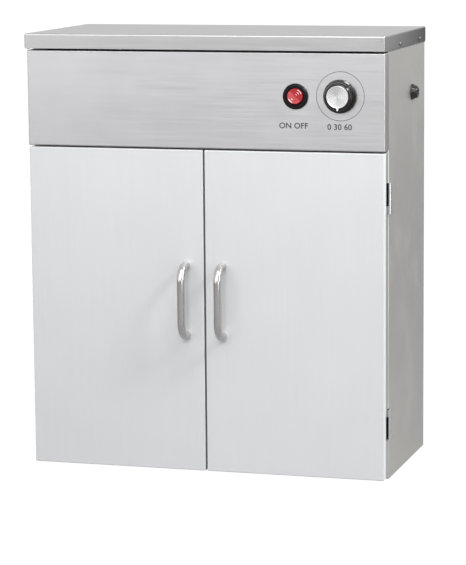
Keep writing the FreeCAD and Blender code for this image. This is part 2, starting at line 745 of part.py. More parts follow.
def hinge_leaf(path, whole, neck, away, neck_length):
    """Leaf as tall as its knuckle near the barrel, and as tall as the hinge further on.

    away is 1 for the frame's leaf, which runs back, and -1 for the door's.
    """
    plate = folded_sheet([point + Z * whole[0] for point in path], HINGE_LEAF,
                         HINGE_FOLD_RADIUS, Z * -away, Z * (whole[1] - whole[0]))
    split = HINGE_Y + away * neck_length
    margin = 2 * HINGE_BARREL
    beside = box(HINGE_X - margin, HINGE_X + margin, HINGE_Y - away, split,
                 whole[0] - 1, whole[1] + 1)
    beside = beside.cut(box(HINGE_X - margin, HINGE_X + margin, HINGE_Y - 2 * margin,
                            HINGE_Y + 2 * margin, neck[0], neck[1]))
    start, end = Vector(HINGE_X, HINGE_Y, neck[0]), Vector(HINGE_X, HINGE_Y, neck[1])
    barrel = rod(HINGE_BARREL, start, end)
    bore = rod(HINGE_BORE, start - Z, end + Z)
    return plate.cut(beside).fuse(barrel).cut(bore).removeSplitter()


def frame_leaves():
    """Leaves welded inside the side panel, reaching out through its notches."""
    x = X_SIDE_INNER - HINGE_LEAF
    path = [Vector(x, HINGE_Y, 0), Vector(x, HINGE_Y + HINGE_FRAME_REACH, 0)]
    neck_length = HINGE_BARREL + 2 * NOTCH_CLEARANCE
    return [hinge_leaf(path, whole, frame, 1, neck_length)
            for whole, frame, _ in hinge_spans()]


def door_leaves():
    """Leaves welded inside the door's edge, set in from the barrel by a small joggle."""
    x_barrel = HINGE_X - HINGE_BARREL
    x_plate = DOOR_OUTER - SHEET - HINGE_LEAF
    path = [
        Vector(x_barrel, HINGE_Y, 0),
        Vector(x_barrel, HINGE_Y - 0.6 * HINGE_BARREL, 0),
        Vector(x_plate, HINGE_Y - 1.15 * HINGE_BARREL, 0),
        Vector(x_plate, HINGE_Y - HINGE_DOOR_REACH, 0),
    ]
    return [hinge_leaf(path, whole, door, -1, NOTCH_DEPTH)
            for whole, _, door in hinge_spans()]


def hinge_pins():
    """Pins with a flat head on the frame's knuckle, one in each hinge."""
    pins = []
    for whole, frame, _ in hinge_spans():
        low, high = Vector(HINGE_X, HINGE_Y, whole[0]), Vector(HINGE_X, HINGE_Y, whole[1])
        head_place, up = (high, Z) if frame[1] == whole[1] else (low, -Z)
        head = rod(PIN_HEAD_RADIUS, head_place, head_place + up * PIN_HEAD_HEIGHT)
        pins.append(fused([rod(HINGE_PIN_RADIUS, low, high), head]))
    return pins


# Power switch


def switch_turned(shape):
    """The shape turned in the panel about the switch's own axis."""
    return shape.rotate(Vector(SWITCH_X, 0, SWITCH_Z), Y, ROCKER_TURN)


def rocker_axle(radius, half_length):
    """Rod along the rocker's tilt axis, which lies level before the switch is turned."""
    return rod(radius, ROCKER_CENTRE - X * half_length, ROCKER_CENTRE + X * half_length)


def switch_body():
    """Round body of the switch with its bezel, barrel, bore and two contact tabs."""
    front = Vector(SWITCH_X, Y_FACE - SWITCH_BEZEL_DEPTH, SWITCH_Z)
    face = Vector(SWITCH_X, Y_FACE, SWITCH_Z)
    back = Vector(SWITCH_X, Y_FACE + SWITCH_BARREL_DEPTH, SWITCH_Z)
    bezel = rod(SWITCH_BEZEL_RADIUS, front, face)
    rim = [edge for edge in bezel.Edges
           if len(edge.Vertexes) == 1 and edge.CenterOfMass.y < front.y + 1e-6]
    bezel = bezel.makeChamfer(SWITCH_BEZEL_CHAMFER, rim)
    body = bezel.fuse(rod(SWITCH_BARREL_RADIUS, face, back))
    for x in (-SWITCH_TAB_SPACING / 2, SWITCH_TAB_SPACING / 2):
        body = body.fuse(box(
            SWITCH_X + x - SWITCH_TAB_THICKNESS / 2, SWITCH_X + x + SWITCH_TAB_THICKNESS / 2,
            back.y, back.y + SWITCH_TAB_LENGTH,
            SWITCH_Z - SWITCH_TAB_WIDTH / 2, SWITCH_Z + SWITCH_TAB_WIDTH / 2))
    bore = rod(SWITCH_BORE_RADIUS, front - Y, back - Y * SWITCH_FLOOR)
    reach = ROCKER_RADIUS + ROCKER_AXLE_OVERLAP + RUNNING_CLEARANCE
    sockets = rocker_axle(ROCKER_AXLE_RADIUS + RUNNING_CLEARANCE, reach)
    return switch_turned(without(body, [bore, sockets]).removeSplitter())


def switch_rocker():
    """Round rocker with a dished front, shown tilted at its off stop."""
    ball = Part.makeSphere(ROCKER_RADIUS, ROCKER_CENTRE)
    y_front = ROCKER_CENTRE.y - ROCKER_RISE
    y_back = ROCKER_CENTRE.y + ROCKER_DEPTH
    wide = 2 * ROCKER_RADIUS
    puck = ball.common(box(
        SWITCH_X - wide, SWITCH_X + wide, ROCKER_CENTRE.y - wide, y_back,
        SWITCH_Z - wide, SWITCH_Z + wide))
    slope = wide * math.tan(math.radians(ROCKER_DISH_ANGLE))
    x = SWITCH_X - wide
    dish = Part.Face(Part.makePolygon([
        Vector(x, y_front, SWITCH_Z),
        Vector(x, y_front - slope, SWITCH_Z + wide),
        Vector(x, y_front - 2 * wide, SWITCH_Z + wide),
        Vector(x, y_front - 2 * wide, SWITCH_Z - wide),
        Vector(x, y_front - slope, SWITCH_Z - wide),
        Vector(x, y_front, SWITCH_Z),
    ])).extrude(X * (2 * wide))
    axle = rocker_axle(ROCKER_AXLE_RADIUS, ROCKER_RADIUS + ROCKER_AXLE_OVERLAP)
    rocker = puck.cut(dish).fuse(axle).removeSplitter()
    return switch_turned(rocker.rotate(ROCKER_CENTRE, X, -ROCKER_TRAVEL / 2))


# Timer and knob


def timer_screw_seats():
    """Points on the fascia, under the knob, where the timer's screws sit."""
    return [Vector(TIMER_X + side * TIMER_SCREW_SPACING / 2, Y_FACE, TIMER_Z)
            for side in (-1, 1)]


def on_timer_axis(y):
    """Point on the axis of the timer's shaft."""
    return Vector(TIMER_X, y, TIMER_Z)


def timer_body():
    """Timer case behind the fascia, with a bush through it for the shaft."""
    y0 = Y_FACE + SHEET
    half = TIMER_SIZE / 2
    case = rounded_box(TIMER_X - half, TIMER_X + half, y0, y0 + TIMER_DEPTH,
                       TIMER_Z - half, TIMER_Z + half, TIMER_EDGE_RADIUS, 1, y0)
    bush = rod(SHAFT_HOLE_RADIUS, on_timer_axis(Y_FACE), on_timer_axis(y0))
    bore = rod(TIMER_SHAFT_RADIUS + RUNNING_CLEARANCE, on_timer_axis(Y_FACE - SHEET),
               on_timer_axis(Y_FACE + TIMER_SHAFT_SEAT))
    holes = [rod(TIMER_SCREW_RADIUS, seat, seat + Y * (SHEET + TIMER_SCREW_GRIP))
             for seat in timer_screw_seats()]
    return without(case.fuse(bush), [bore] + holes).removeSplitter()


def timer_screws():
    """Screws through the fascia into the timer case."""
    return [screw(seat, Y, TIMER_SCREW_HEAD_RADIUS, TIMER_SCREW_HEAD_HEIGHT,
                  TIMER_SCREW_RADIUS, SHEET + TIMER_SCREW_GRIP)
            for seat in timer_screw_seats()]


def timer_shaft():
    """Shaft with a flat where the knob grips it."""
    tip = KNOB_BACK - KNOB_SHAFT_ENGAGEMENT
    shaft = rod(TIMER_SHAFT_RADIUS, on_timer_axis(Y_FACE + TIMER_SHAFT_SEAT), on_timer_axis(tip))
    r = TIMER_SHAFT_RADIUS
    flat = box(TIMER_X - r, TIMER_X + r, tip - 1, KNOB_BACK,
               TIMER_Z + r - SHAFT_FLAT, TIMER_Z + r)
    return shaft.cut(flat)


def timer_knob():
    """Skirted knob, hollow behind, with a shallow recess in front for its cap."""
    recess = KNOB_CAP_THICKNESS - KNOB_CAP_RISE
    profile = [
        (0, KNOB_HOLLOW_RADIUS, 0),
        (0, KNOB_RADIUS, KNOB_EDGE_RADIUS / 2),
        (KNOB_SKIRT, KNOB_RADIUS, KNOB_EDGE_RADIUS),
        (KNOB_SKIRT + KNOB_SKIRT_RISE, KNOB_WAIST_RADIUS, KNOB_EDGE_RADIUS),
        (KNOB_HEIGHT, KNOB_TOP_RADIUS, KNOB_EDGE_RADIUS),
        (KNOB_HEIGHT, KNOB_CAP_RADIUS, 0),
        (KNOB_HEIGHT - recess, KNOB_CAP_RADIUS, 0),
        (KNOB_HEIGHT - recess, 0, 0),
        (KNOB_HOLLOW_DEPTH, 0, 0),
        (KNOB_HOLLOW_DEPTH, KNOB_HOLLOW_RADIUS, 0),
    ]
    points = [on_timer_axis(KNOB_BACK - along) + X * radius for along, radius, _ in profile]
    knob = outline(points, [corner for _, _, corner in profile])
    return knob.revolve(on_timer_axis(0), Y, 360).cut(timer_shaft())


def knob_cap():
    """Thin disc pressed into the front of the knob."""
    front = on_timer_axis(KNOB_FRONT - KNOB_CAP_RISE)
    disc = rod(KNOB_CAP_RADIUS, front, front + Y * KNOB_CAP_THICKNESS)
    rim = [edge for edge in disc.Edges
           if len(edge.Vertexes) == 1 and edge.CenterOfMass.y < front.y + 1e-6]
    return disc.makeChamfer(KNOB_CAP_CHAMFER, rim)


# Cable gland


def cable_gland():
    """Gland with a flange, a domed nut and a threaded tail through the side panel."""
    tail = -SHEET - GLAND_TAIL
    end = GLAND_FLANGE + GLAND_DOME
    profile = [
        (tail, GLAND_BORE_RADIUS, 0),
        (tail, GLAND_THREAD_RADIUS, 0),
        (0, GLAND_THREAD_RADIUS, 0),
        (0, GLAND_RADIUS, 0),
        (GLAND_FLANGE, GLAND_RADIUS, GLAND_EDGE_RADIUS),
        (GLAND_FLANGE, GLAND_NECK_RADIUS, 0),
        (end, GLAND_DOME_RADIUS, GLAND_DOME_EDGE_RADIUS),
        (end, GLAND_BORE_RADIUS, GLAND_EDGE_RADIUS),
    ]
    points = [gland_point(along) + Y * radius for along, radius, _ in profile]
    gland = outline(points, [corner for _, _, corner in profile])
    return gland.revolve(gland_point(0), X, 360)


def gland_locknut():
    """Hexagon nut on the gland's tail, inside the side panel."""
    corner = GLAND_NUT_SIZE / math.sqrt(3)
    centre = gland_point(-SHEET)
    points = [centre + Y * (corner * math.cos(math.radians(60 * i)))
              + Z * (corner * math.sin(math.radians(60 * i))) for i in range(7)]
    nut = Part.Face(Part.makePolygon(points)).extrude(-X * GLAND_NUT_THICKNESS)
    return nut.cut(rod(GLAND_THREAD_RADIUS, centre, centre - X * (2 * GLAND_NUT_THICKNESS)))


# Knife combs


def comb_slot(x, z):
    """Cutter for one slot: a round-ended slit with a flared mouth at the comb's front."""
    half = COMB_SLOT_WIDTH / 2
    flare = COMB_MOUTH_RADIUS
    z0, z1 = z - 2 * COMB_NOSE, z + COMB_NOSE
    y_end = COMB_Y + COMB_SLOT_LENGTH - half
    slit = box(x - half, x + half, COMB_Y - 1, y_end, z0, z1)
    end = rod(half, Vector(x, y_end, z0), Vector(x, y_end, z1))
    mouth = box(x - half - flare, x + half + flare, COMB_Y - 1, COMB_Y + flare, z0, z1)
    for side in (-1, 1):
        corner = Vector(x + side * (half + flare), COMB_Y + flare, 0)
        mouth = mouth.cut(rod(flare, corner + Z * (z0 - 1), corner + Z * (z1 + 1)))
    return fused([slit, end, mouth])


def knife_comb(z):
    """Comb that knives hang in: fingers with turned-down noses, and a back stiffener."""
    x = -COMB_WIDTH / 2
    path = [
        Vector(x, COMB_Y, z - COMB_NOSE),
        Vector(x, COMB_Y, z),
        Vector(x, COMB_Y + COMB_DEPTH, z),
        Vector(x, COMB_Y + COMB_DEPTH, z - COMB_BACK_FLANGE),
    ]
    comb = folded_sheet(path, COMB_SHEET, COMB_FOLD_RADIUS, -X, X * COMB_WIDTH)
    first = -(COMB_SLOTS - 1) * COMB_PITCH / 2
    slots = [comb_slot(first + i * COMB_PITCH, z) for i in range(COMB_SLOTS)]
    return without(comb, slots)


def rack_ledges():
    """Angles welded inside the right side, one under each comb."""
    x0 = COMB_WIDTH / 2 - LEDGE_OVERLAP
    y0 = HINGE_Y + HINGE_FRAME_REACH + LEDGE_END_CLEARANCE
    y1 = COMB_Y + COMB_DEPTH - COMB_FOLD_RADIUS - LEDGE_END_CLEARANCE
    ledges = []
    for z_comb in (UPPER_COMB_Z, LOWER_COMB_Z):
        z = z_comb - COMB_SHEET
        path = [Vector(x0, y0, z), Vector(X_SIDE_INNER, y0, z),
                Vector(X_SIDE_INNER, y0, z - LEDGE_HEIGHT)]
        ledges.append(folded_sheet(path, LEDGE_SHEET, LEDGE_FOLD_RADIUS, Y, Y * (y1 - y0)))
    return ledges


# Lamp and guard


def lead_points():
    """Places behind the batten where the two lamp leads come down from the ceiling."""
    y = Y_BACK_INNER - LEAD_FROM_BACK
    return [Vector(DUCT_X + side * LEAD_SPACING / 2, y, LAMP_Z) for side in (-1, 1)]


def lamp_reflector():
    """Batten on the back panel, with wings that throw the light forward."""
    x = -BATTEN_X
    half = BATTEN_HEIGHT / 2
    wing = REFLECTOR_MOUTH / 2
    path = [
        Vector(x, Y_BATTEN - REFLECTOR_RISE, LAMP_Z - wing),
        Vector(x, Y_BATTEN, LAMP_Z - half),
        Vector(x, Y_BATTEN, LAMP_Z + half),
        Vector(x, Y_BATTEN - REFLECTOR_RISE, LAMP_Z + wing),
    ]
    parts = [folded_sheet(path, REFLECTOR_SHEET, 2 * REFLECTOR_SHEET, -X, X * (2 * BATTEN_X))]
    for side in (-1, 1):
        z = LAMP_Z + side * half
        parts.append(box(-BATTEN_X, BATTEN_X, Y_BATTEN, Y_BACK_INNER, z, z - side * SHEET))
        parts.append(box(side * BATTEN_X, side * (BATTEN_X - SHEET), Y_BATTEN, Y_BACK_INNER,
                         LAMP_Z - half, LAMP_Z + half))
    low, high = lead_points()
    clear = WIRE_RADIUS + WINDOW_CLEARANCE
    entry = box(low.x - clear, high.x + clear, low.y - clear, low.y + clear,
                LAMP_Z + half - 2 * SHEET, LAMP_Z + half + SHEET)
    return fused(parts).cut(entry)


def lampholder():
    """Right-hand lampholder: a block rounded about the lamp, with sockets for its pins."""
    half = HOLDER_WIDTH / 2
    block = box(LAMP_END, LAMP_END + HOLDER_THICKNESS, LAMP_Y, Y_BATTEN,
                LAMP_Z - half, LAMP_Z + half)
    nose = rod(half, Vector(LAMP_END, LAMP_Y, LAMP_Z),
               Vector(LAMP_END + HOLDER_THICKNESS, LAMP_Y, LAMP_Z))
    return without(fused([block, nose]), lamp_pins())


def lamp_pins():
    """The two contact pins at the lamp's right end."""
    pins = []
    for side in (-1, 1):
        start = Vector(LAMP_END - LAMP_CAP_THICKNESS, LAMP_Y, LAMP_Z + side * LAMP_PIN_SPACING / 2)
        pins.append(rod(LAMP_PIN_RADIUS, start, start + X * (LAMP_CAP_THICKNESS + LAMP_PIN_LENGTH)))
    return pins


def lamp_tube():
    """Glass tube, open inside the caps."""
    end = LAMP_END - LAMP_CAP_THICKNESS
    start, stop = Vector(-end, LAMP_Y, LAMP_Z), Vector(end, LAMP_Y, LAMP_Z)
    inside = rod(LAMP_RADIUS - LAMP_GLASS_WALL, start - X, stop + X)
    return rod(LAMP_RADIUS, start, stop).cut(inside)


def lamp_cap():
    """Metal cap on the right end of the tube, with its pins."""
    end = Vector(LAMP_END, LAMP_Y, LAMP_Z)
    cup = rod(LAMP_RADIUS + LAMP_CAP_WALL, end - X * LAMP_CAP_LENGTH, end)
    hollow = rod(LAMP_RADIUS, end - X * (2 * LAMP_CAP_LENGTH), end - X * LAMP_CAP_THICKNESS)
    return fused([cup.cut(hollow)] + lamp_pins())


def lamp_guard():
    """Wire guard: bent hoops on the batten, with two rails welded across them."""
    span = LAMP_END - GUARD_END_MARGIN
    y_front = LAMP_Y - LAMP_RADIUS - GUARD_CLEARANCE - GUARD_WIRE_RADIUS
    step = 2 * (span - GUARD_RAIL_END) / (GUARD_HOOPS - 1)
    parts = []
    for i in range(GUARD_HOOPS):
        x = GUARD_RAIL_END - span + i * step
        top, bottom = LAMP_Z + GUARD_HALF_HEIGHT, LAMP_Z - GUARD_HALF_HEIGHT
        hoop = [Vector(x, Y_BATTEN, top), Vector(x, y_front, top),
                Vector(x, y_front, bottom), Vector(x, Y_BATTEN, bottom)]
        parts.append(tube(hoop, GUARD_BEND, GUARD_WIRE_RADIUS))
    y_rail = y_front - 2 * GUARD_WIRE_RADIUS + GUARD_WELD
    for side in (-1, 1):
        z = LAMP_Z + side * (GUARD_HALF_HEIGHT - GUARD_BEND)
        parts.append(rod(GUARD_WIRE_RADIUS, Vector(-span, y_rail, z), Vector(span, y_rail, z)))
    return fused(parts)


def wire_duct():
    """Channel on the back panel that hides the lamp leads."""
    z0 = LAMP_Z + BATTEN_HEIGHT / 2 + 2 * SHEET
    z1 = Z_CEILING - GROMMET_LIP_THICKNESS
    x0, x1 = DUCT_X - DUCT_WIDTH / 2, DUCT_X + DUCT_WIDTH / 2
    y = Y_BACK_INNER - DUCT_DEPTH
    path = [Vector(x0, Y_BACK_INNER, z0), Vector(x0, y, z0), Vector(x1, y, z0),
            Vector(x1, Y_BACK_INNER, z0)]
    return folded_sheet(path, SHEET, FOLD_RADIUS, Z, Z * (z1 - z0))


# Drip tray


def rounded_plate(x0, x1, y0, y1, z0, z1, corner):
    """Block with its four upright edges rounded."""
    points = [Vector(x0, y0, z0), Vector(x1, y0, z0), Vector(x1, y1, z0), Vector(x0, y1, z0)]
    return outline(points, [corner] * 4).extrude(Z * (z1 - z0))


def drip_tray():
    """Shallow pressed tray with a flat rim, standing on the base panel."""
    x = X_SIDE_INNER - TRAY_SIDE_GAP
    y0 = Y_BODY + TRAY_FRONT_GAP
    y1 = y0 + TRAY_DEPTH
    z0 = SHEET
    z1 = z0 + TRAY_HEIGHT
    t = TRAY_SHEET
    outside = rounded_plate(-x, x, y0, y1, z0, z1, TRAY_CORNER)
    inside = rounded_plate(t - x, x - t, y0 + t, y1 - t, z0 + t, z1 + t, TRAY_CORNER - t)
    floor_edges = [edge for edge in outside.Edges if edge.BoundBox.ZMax < z0 + 1e-6]
    outside = outside.makeFillet(TRAY_FLOOR_RADIUS, floor_edges)
    floor_edges = [edge for edge in inside.Edges if edge.BoundBox.ZMax < z0 + t + 1e-6]
    inside = inside.makeFillet(TRAY_FLOOR_RADIUS - t, floor_edges)
    rim = rounded_plate(-x - TRAY_RIM, x + TRAY_RIM, y0 - TRAY_RIM, y1 + TRAY_RIM,
                        z1 - t, z1, TRAY_CORNER + TRAY_RIM)
    return fused([outside, rim]).cut(inside)


# Catch and door switches


def pole_block(side, grow, y0, y1):
    """Block where one pole of the magnetic catch reaches through the top rail."""
    half = POLE_HEIGHT / 2 + grow
    return box(side * (POLE_X - grow), side * (POLE_X + POLE_WIDTH + grow), y0, y1,
               Z_FITTINGS - half, Z_FITTINGS + half)


def catch_magnets():
    """Magnets that stand a little proud of the top rail, one for each door."""
    y1 = Y_BODY + SHEET + CATCH_DEPTH - CATCH_WALL
    return [pole_block(side, 0, Y_BODY - CATCH_PROUD, y1) for side in (-1, 1)]


def catch_body():
    """Housing behind the top rail that holds both magnets."""
    x = POLE_X + POLE_WIDTH + CATCH_WALL
    half = CATCH_HEIGHT / 2
    y0 = Y_BODY + SHEET
    block = rounded_box(-x, x, y0, y0 + CATCH_DEPTH, Z_FITTINGS - half, Z_FITTINGS + half,
                        CATCH_EDGE_RADIUS, 1, y0)
    return without(block, catch_magnets())


def plunger_place(y):
    """Point on the right door switch's axis."""
    return Vector(DOOR_SWITCH_X, y, Z_FITTINGS)


def door_switch():
    """Right door switch behind the top rail, bored for its plunger."""
    half = DOOR_SWITCH_SIZE / 2
    y0 = Y_BODY + SHEET
    body = rounded_box(DOOR_SWITCH_X - half, DOOR_SWITCH_X + half, y0, y0 + DOOR_SWITCH_DEPTH,
                       Z_FITTINGS - half, Z_FITTINGS + half, CATCH_EDGE_RADIUS, 1, y0)
    bore = rod(PLUNGER_RADIUS + RUNNING_CLEARANCE, plunger_place(y0 - 1),
               plunger_place(y0 + PLUNGER_SEAT + PLUNGER_SPARE))
    return body.cut(bore)


def switch_plunger():
    """Right plunger, held in by the shut door."""
    front = plunger_place(Y_DOOR_BACK + PLUNGER_GAP)
    plunger = rod(PLUNGER_RADIUS, front, plunger_place(Y_BODY + SHEET + PLUNGER_SEAT))
    nose = [edge for edge in plunger.Edges
            if len(edge.Vertexes) == 1 and edge.CenterOfMass.y < front.y + 1e-6]
    return plunger.makeFillet(PLUNGER_RADIUS / 2, nose)


# Electrical parts


def ballast():
    """Lamp ballast on a foot plate that is longer than its core."""
    y = Y_BACK - BALLAST_FROM_BACK
    x0, x1 = BALLAST_X - BALLAST_LENGTH / 2, BALLAST_X + BALLAST_LENGTH / 2
    y0, y1 = y - BALLAST_WIDTH / 2, y + BALLAST_WIDTH / 2
    z_foot = Z_CEILING_TOP + BALLAST_FOOT_SHEET
    foot = box(x0 - BALLAST_FOOT, x1 + BALLAST_FOOT, y0, y1, Z_CEILING_TOP, z_foot)
    core = rounded_box(x0, x1, y0, y1, z_foot, z_foot + BALLAST_HEIGHT, FOLD_RADIUS, 2, z_foot)
    return fused([foot, core])


def starter_place(z):
    """Point on the starter's axis, so far above the chamber ceiling."""
    return Vector(STARTER_X, Y_BACK - STARTER_FROM_BACK, Z_CEILING_TOP + z)


def starter_holder():
    """Round socket that the starter stands in."""
    base = rod(STARTER_BASE_RADIUS, starter_place(0), starter_place(STARTER_BASE_HEIGHT))
    seat = STARTER_BASE_HEIGHT - STARTER_SEAT
    return base.cut(rod(STARTER_RADIUS, starter_place(seat), starter_place(STARTER_BASE_HEIGHT + 1)))


def lamp_starter():
    """Starter can with a rounded top."""
    low = STARTER_BASE_HEIGHT - STARTER_SEAT
    can = rod(STARTER_RADIUS, starter_place(low), starter_place(low + STARTER_LENGTH))
    top = can.BoundBox.ZMax
    rim = [edge for edge in can.Edges
           if len(edge.Vertexes) == 1 and edge.CenterOfMass.z > top - 1e-6]
    return can.makeFillet(FOLD_RADIUS, rim)


def terminal_x(way):
    """Middle of one way of the terminal block."""
    return TERMINAL_X + (way - (TERMINAL_WAYS - 1) / 2) * TERMINAL_PITCH


def terminal_edges():
    """Front and back planes of the terminal block."""
    y = Y_BACK - TERMINAL_FROM_BACK
    return y - TERMINAL_WIDTH / 2, y + TERMINAL_WIDTH / 2


def terminal_block():
    """Row of terminals, each with a screw well on top and the wires let in at its sides."""
    y0, y1 = terminal_edges()
    half = TERMINAL_WAYS * TERMINAL_PITCH / 2
    block = box(TERMINAL_X - half, TERMINAL_X + half, y0, y1,
                Z_CEILING_TOP, Z_CEILING_TOP + TERMINAL_HEIGHT)
    top = Z_CEILING_TOP + TERMINAL_HEIGHT
    wells = []
    for way in range(TERMINAL_WAYS):
        for y in (y0 + TERMINAL_WIDTH / 4, y1 - TERMINAL_WIDTH / 4):
            place = Vector(terminal_x(way), y, top)
            wells.append(rod(TERMINAL_WELL_RADIUS, place + Z, place - Z * TERMINAL_WELL))
    return without(block, wells + wiring())


def wiring():
    """Leads from the terminal block to the lamp, ballast, starter, switch and timer."""
    front, back = terminal_edges()
    z = Z_CEILING_TOP + LEAD_HEIGHT
    depth = LEAD_SEAT
    left_lead, right_lead = lead_points()
    half = BATTEN_HEIGHT / 4
    y_ballast = Y_BACK - BALLAST_FROM_BACK - BALLAST_WIDTH / 2 + LEAD_SEAT
    x_ballast = BALLAST_X + BALLAST_LENGTH / 2
    starter = starter_place(LEAD_HEIGHT)
    y_tab = Y_FACE + SWITCH_BARREL_DEPTH + SWITCH_TAB_LENGTH
    y_timer = Y_FACE + SHEET + TIMER_DEPTH
    z_timer = TIMER_Z - TIMER_SIZE / 4
    ways = [terminal_x(way) for way in range(TERMINAL_WAYS)]
    paths = [
        [Vector(ways[2], back - depth, z), Vector(ways[2], back + LEAD_LOOP + LEAD_SPACING, z),
         Vector(left_lead.x, back + LEAD_LOOP + LEAD_SPACING, z),
         Vector(left_lead.x, left_lead.y, z), Vector(left_lead.x, left_lead.y, LAMP_Z),
         Vector(-LAMP_END, left_lead.y, LAMP_Z)],
        [Vector(ways[3], back - depth, z), Vector(ways[3], back + LEAD_LOOP, z),
         Vector(right_lead.x, back + LEAD_LOOP, z),
         Vector(right_lead.x, right_lead.y, z), Vector(right_lead.x, right_lead.y, LAMP_Z + half),
         Vector(LAMP_END, right_lead.y, LAMP_Z + half)],
        [Vector(ways[0], front + depth, z), Vector(ways[0], starter.y, z),
         Vector(starter.x + STARTER_BASE_RADIUS, starter.y, z)],
        [Vector(ways[1], front + depth, z), Vector(ways[1], y_ballast, z),
         Vector(x_ballast, y_ballast, z)],
        [Vector(ways[4], front + depth, z), Vector(ways[4], y_tab + 2 * LEAD_LOOP, z),
         Vector(SWITCH_X, y_tab + 2 * LEAD_LOOP, z),
         Vector(SWITCH_X, y_tab + 2 * LEAD_LOOP, SWITCH_Z), Vector(SWITCH_X, y_tab, SWITCH_Z)],
        [Vector(ways[5], front + depth, z), Vector(ways[5], y_timer + 2 * LEAD_LOOP, z),
         Vector(TIMER_X, y_timer + 2 * LEAD_LOOP, z),
         Vector(TIMER_X, y_timer + 2 * LEAD_LOOP, z_timer), Vector(TIMER_X, y_timer, z_timer)],
    ]
    return [tube(path, LEAD_BEND, WIRE_RADIUS) for path in paths]


def grommet_centre():
    """Point on the chamber ceiling's underside where the lamp leads pass."""
    y = Y_BACK_INNER - 2 * SHEET - GROMMET_RADIUS - GROMMET_LIP
    return Vector(DUCT_X, y, Z_CEILING)


def ceiling_grommet():
    """Rubber ring in the chamber ceiling, with a lip on either side."""
    centre = grommet_centre()
    wide = GROMMET_RADIUS + GROMMET_LIP
    low = centre - Z * GROMMET_LIP_THICKNESS
    high = centre + Z * (SHEET + GROMMET_LIP_THICKNESS)
    ring = fused([rod(wide, low, centre), rod(GROMMET_RADIUS, centre, centre + Z * SHEET),
                  rod(wide, centre + Z * SHEET, high)])
    return ring.cut(rod(GROMMET_BORE_RADIUS, low - Z, high + Z))


# Every piece under its name


def build_parts():
    """Every piece of the cabinet: its name and its solids, in a list."""
    right = right_side_panel()
    screws_at_back = [sheet_screw(seat, -Y) for seat in back_screw_seats()]
    screws_in_cover = [sheet_screw(seat, -X) for seat in cover_screw_seats()]
    screws_in_fascia = [sheet_screw(seat, -Y) for seat in fascia_screw_seats()]
    parts = {
        "right_side_panel": [right],
        "left_side_panel": [mirrored(bare_side_panel())],
        "back_panel": [back_panel()],
        "base_panel": [base_panel()],
        "chamber_ceiling": [chamber_ceiling()],
        "top_cover": [top_cover()],
        "fascia_panel": [fascia_panel()],
        "back_panel_screws": paired(screws_at_back),
        "cover_screws": paired(screws_in_cover),
        "fascia_screws": paired(screws_in_fascia),
        "switch_body": [switch_body()],
        "switch_rocker": [switch_rocker()],
        "timer_body": [timer_body()],
        "timer_screws": timer_screws(),
        "timer_shaft": [timer_shaft()],
        "timer_knob": [timer_knob()],
        "knob_cap": [knob_cap()],
        "cable_gland": [cable_gland()],
        "gland_locknut": [gland_locknut()],
        "upper_knife_comb": [knife_comb(UPPER_COMB_Z)],
        "lower_knife_comb": [knife_comb(LOWER_COMB_Z)],
        "rack_ledges": paired(rack_ledges()),
        "lamp_reflector": [lamp_reflector()],
        "right_lampholder": [lampholder()],
        "left_lampholder": [mirrored(lampholder())],
        "uv_lamp_tube": [lamp_tube()],
        "lamp_caps": paired([lamp_cap()]),
        "lamp_guard": [lamp_guard()],
        "wire_duct": [wire_duct()],
        "drip_tray": [drip_tray()],
        "catch_body": [catch_body()],
        "catch_magnets": catch_magnets(),
        "right_door_switch": [door_switch()],
        "left_door_switch": [mirrored(door_switch())],
        "right_switch_plunger": [switch_plunger()],
        "left_switch_plunger": [mirrored(switch_plunger())],
        "ballast": [ballast()],
        "starter_holder": [starter_holder()],
        "lamp_starter": [lamp_starter()],
        "terminal_block": [terminal_block()],
        "wiring": wiring(),
        "ceiling_grommet": [ceiling_grommet()],
        "hinge_pins": paired(hinge_pins()),
    }
    of_each_side = {
        "hinge_frame_leaves": frame_leaves(),
        "hinge_door_leaves": door_leaves(),
        "door_panel": [door_front()],
        "door_liner": [door_liner()],
        "door_seal": [door_seal()],
        "door_handle": [door_handle()],
        "handle_screws": handle_screws(),
        "strike_plate": [strike_plate()],
    }
    for name, solids in of_each_side.items():
        parts["right_" + name] = solids
        parts["left_" + name] = [mirrored(solid) for solid in solids]
    return parts


def paired(shapes):
    """The solids and their mirror images."""
    return shapes + [mirrored(shape) for shape in shapes]


def main():
    """Write every piece to a file of its own."""
    os.makedirs("parts", exist_ok=True)
    for name, solids in build_parts().items():
        shape = solids[0] if len(solids) == 1 else Part.makeCompound(solids)
        shape.exportStep("parts/" + name + ".step")


main()
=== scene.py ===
"""Looks for the knife sterilizer cabinet: sheet steel, controls, lamp, prints and stage."""
import math
import bmesh
import bpy
from bpy.props import FloatProperty, FloatVectorProperty, PointerProperty
from bpy.types import Operator, Panel, PropertyGroup
from mathutils import Matrix, Vector


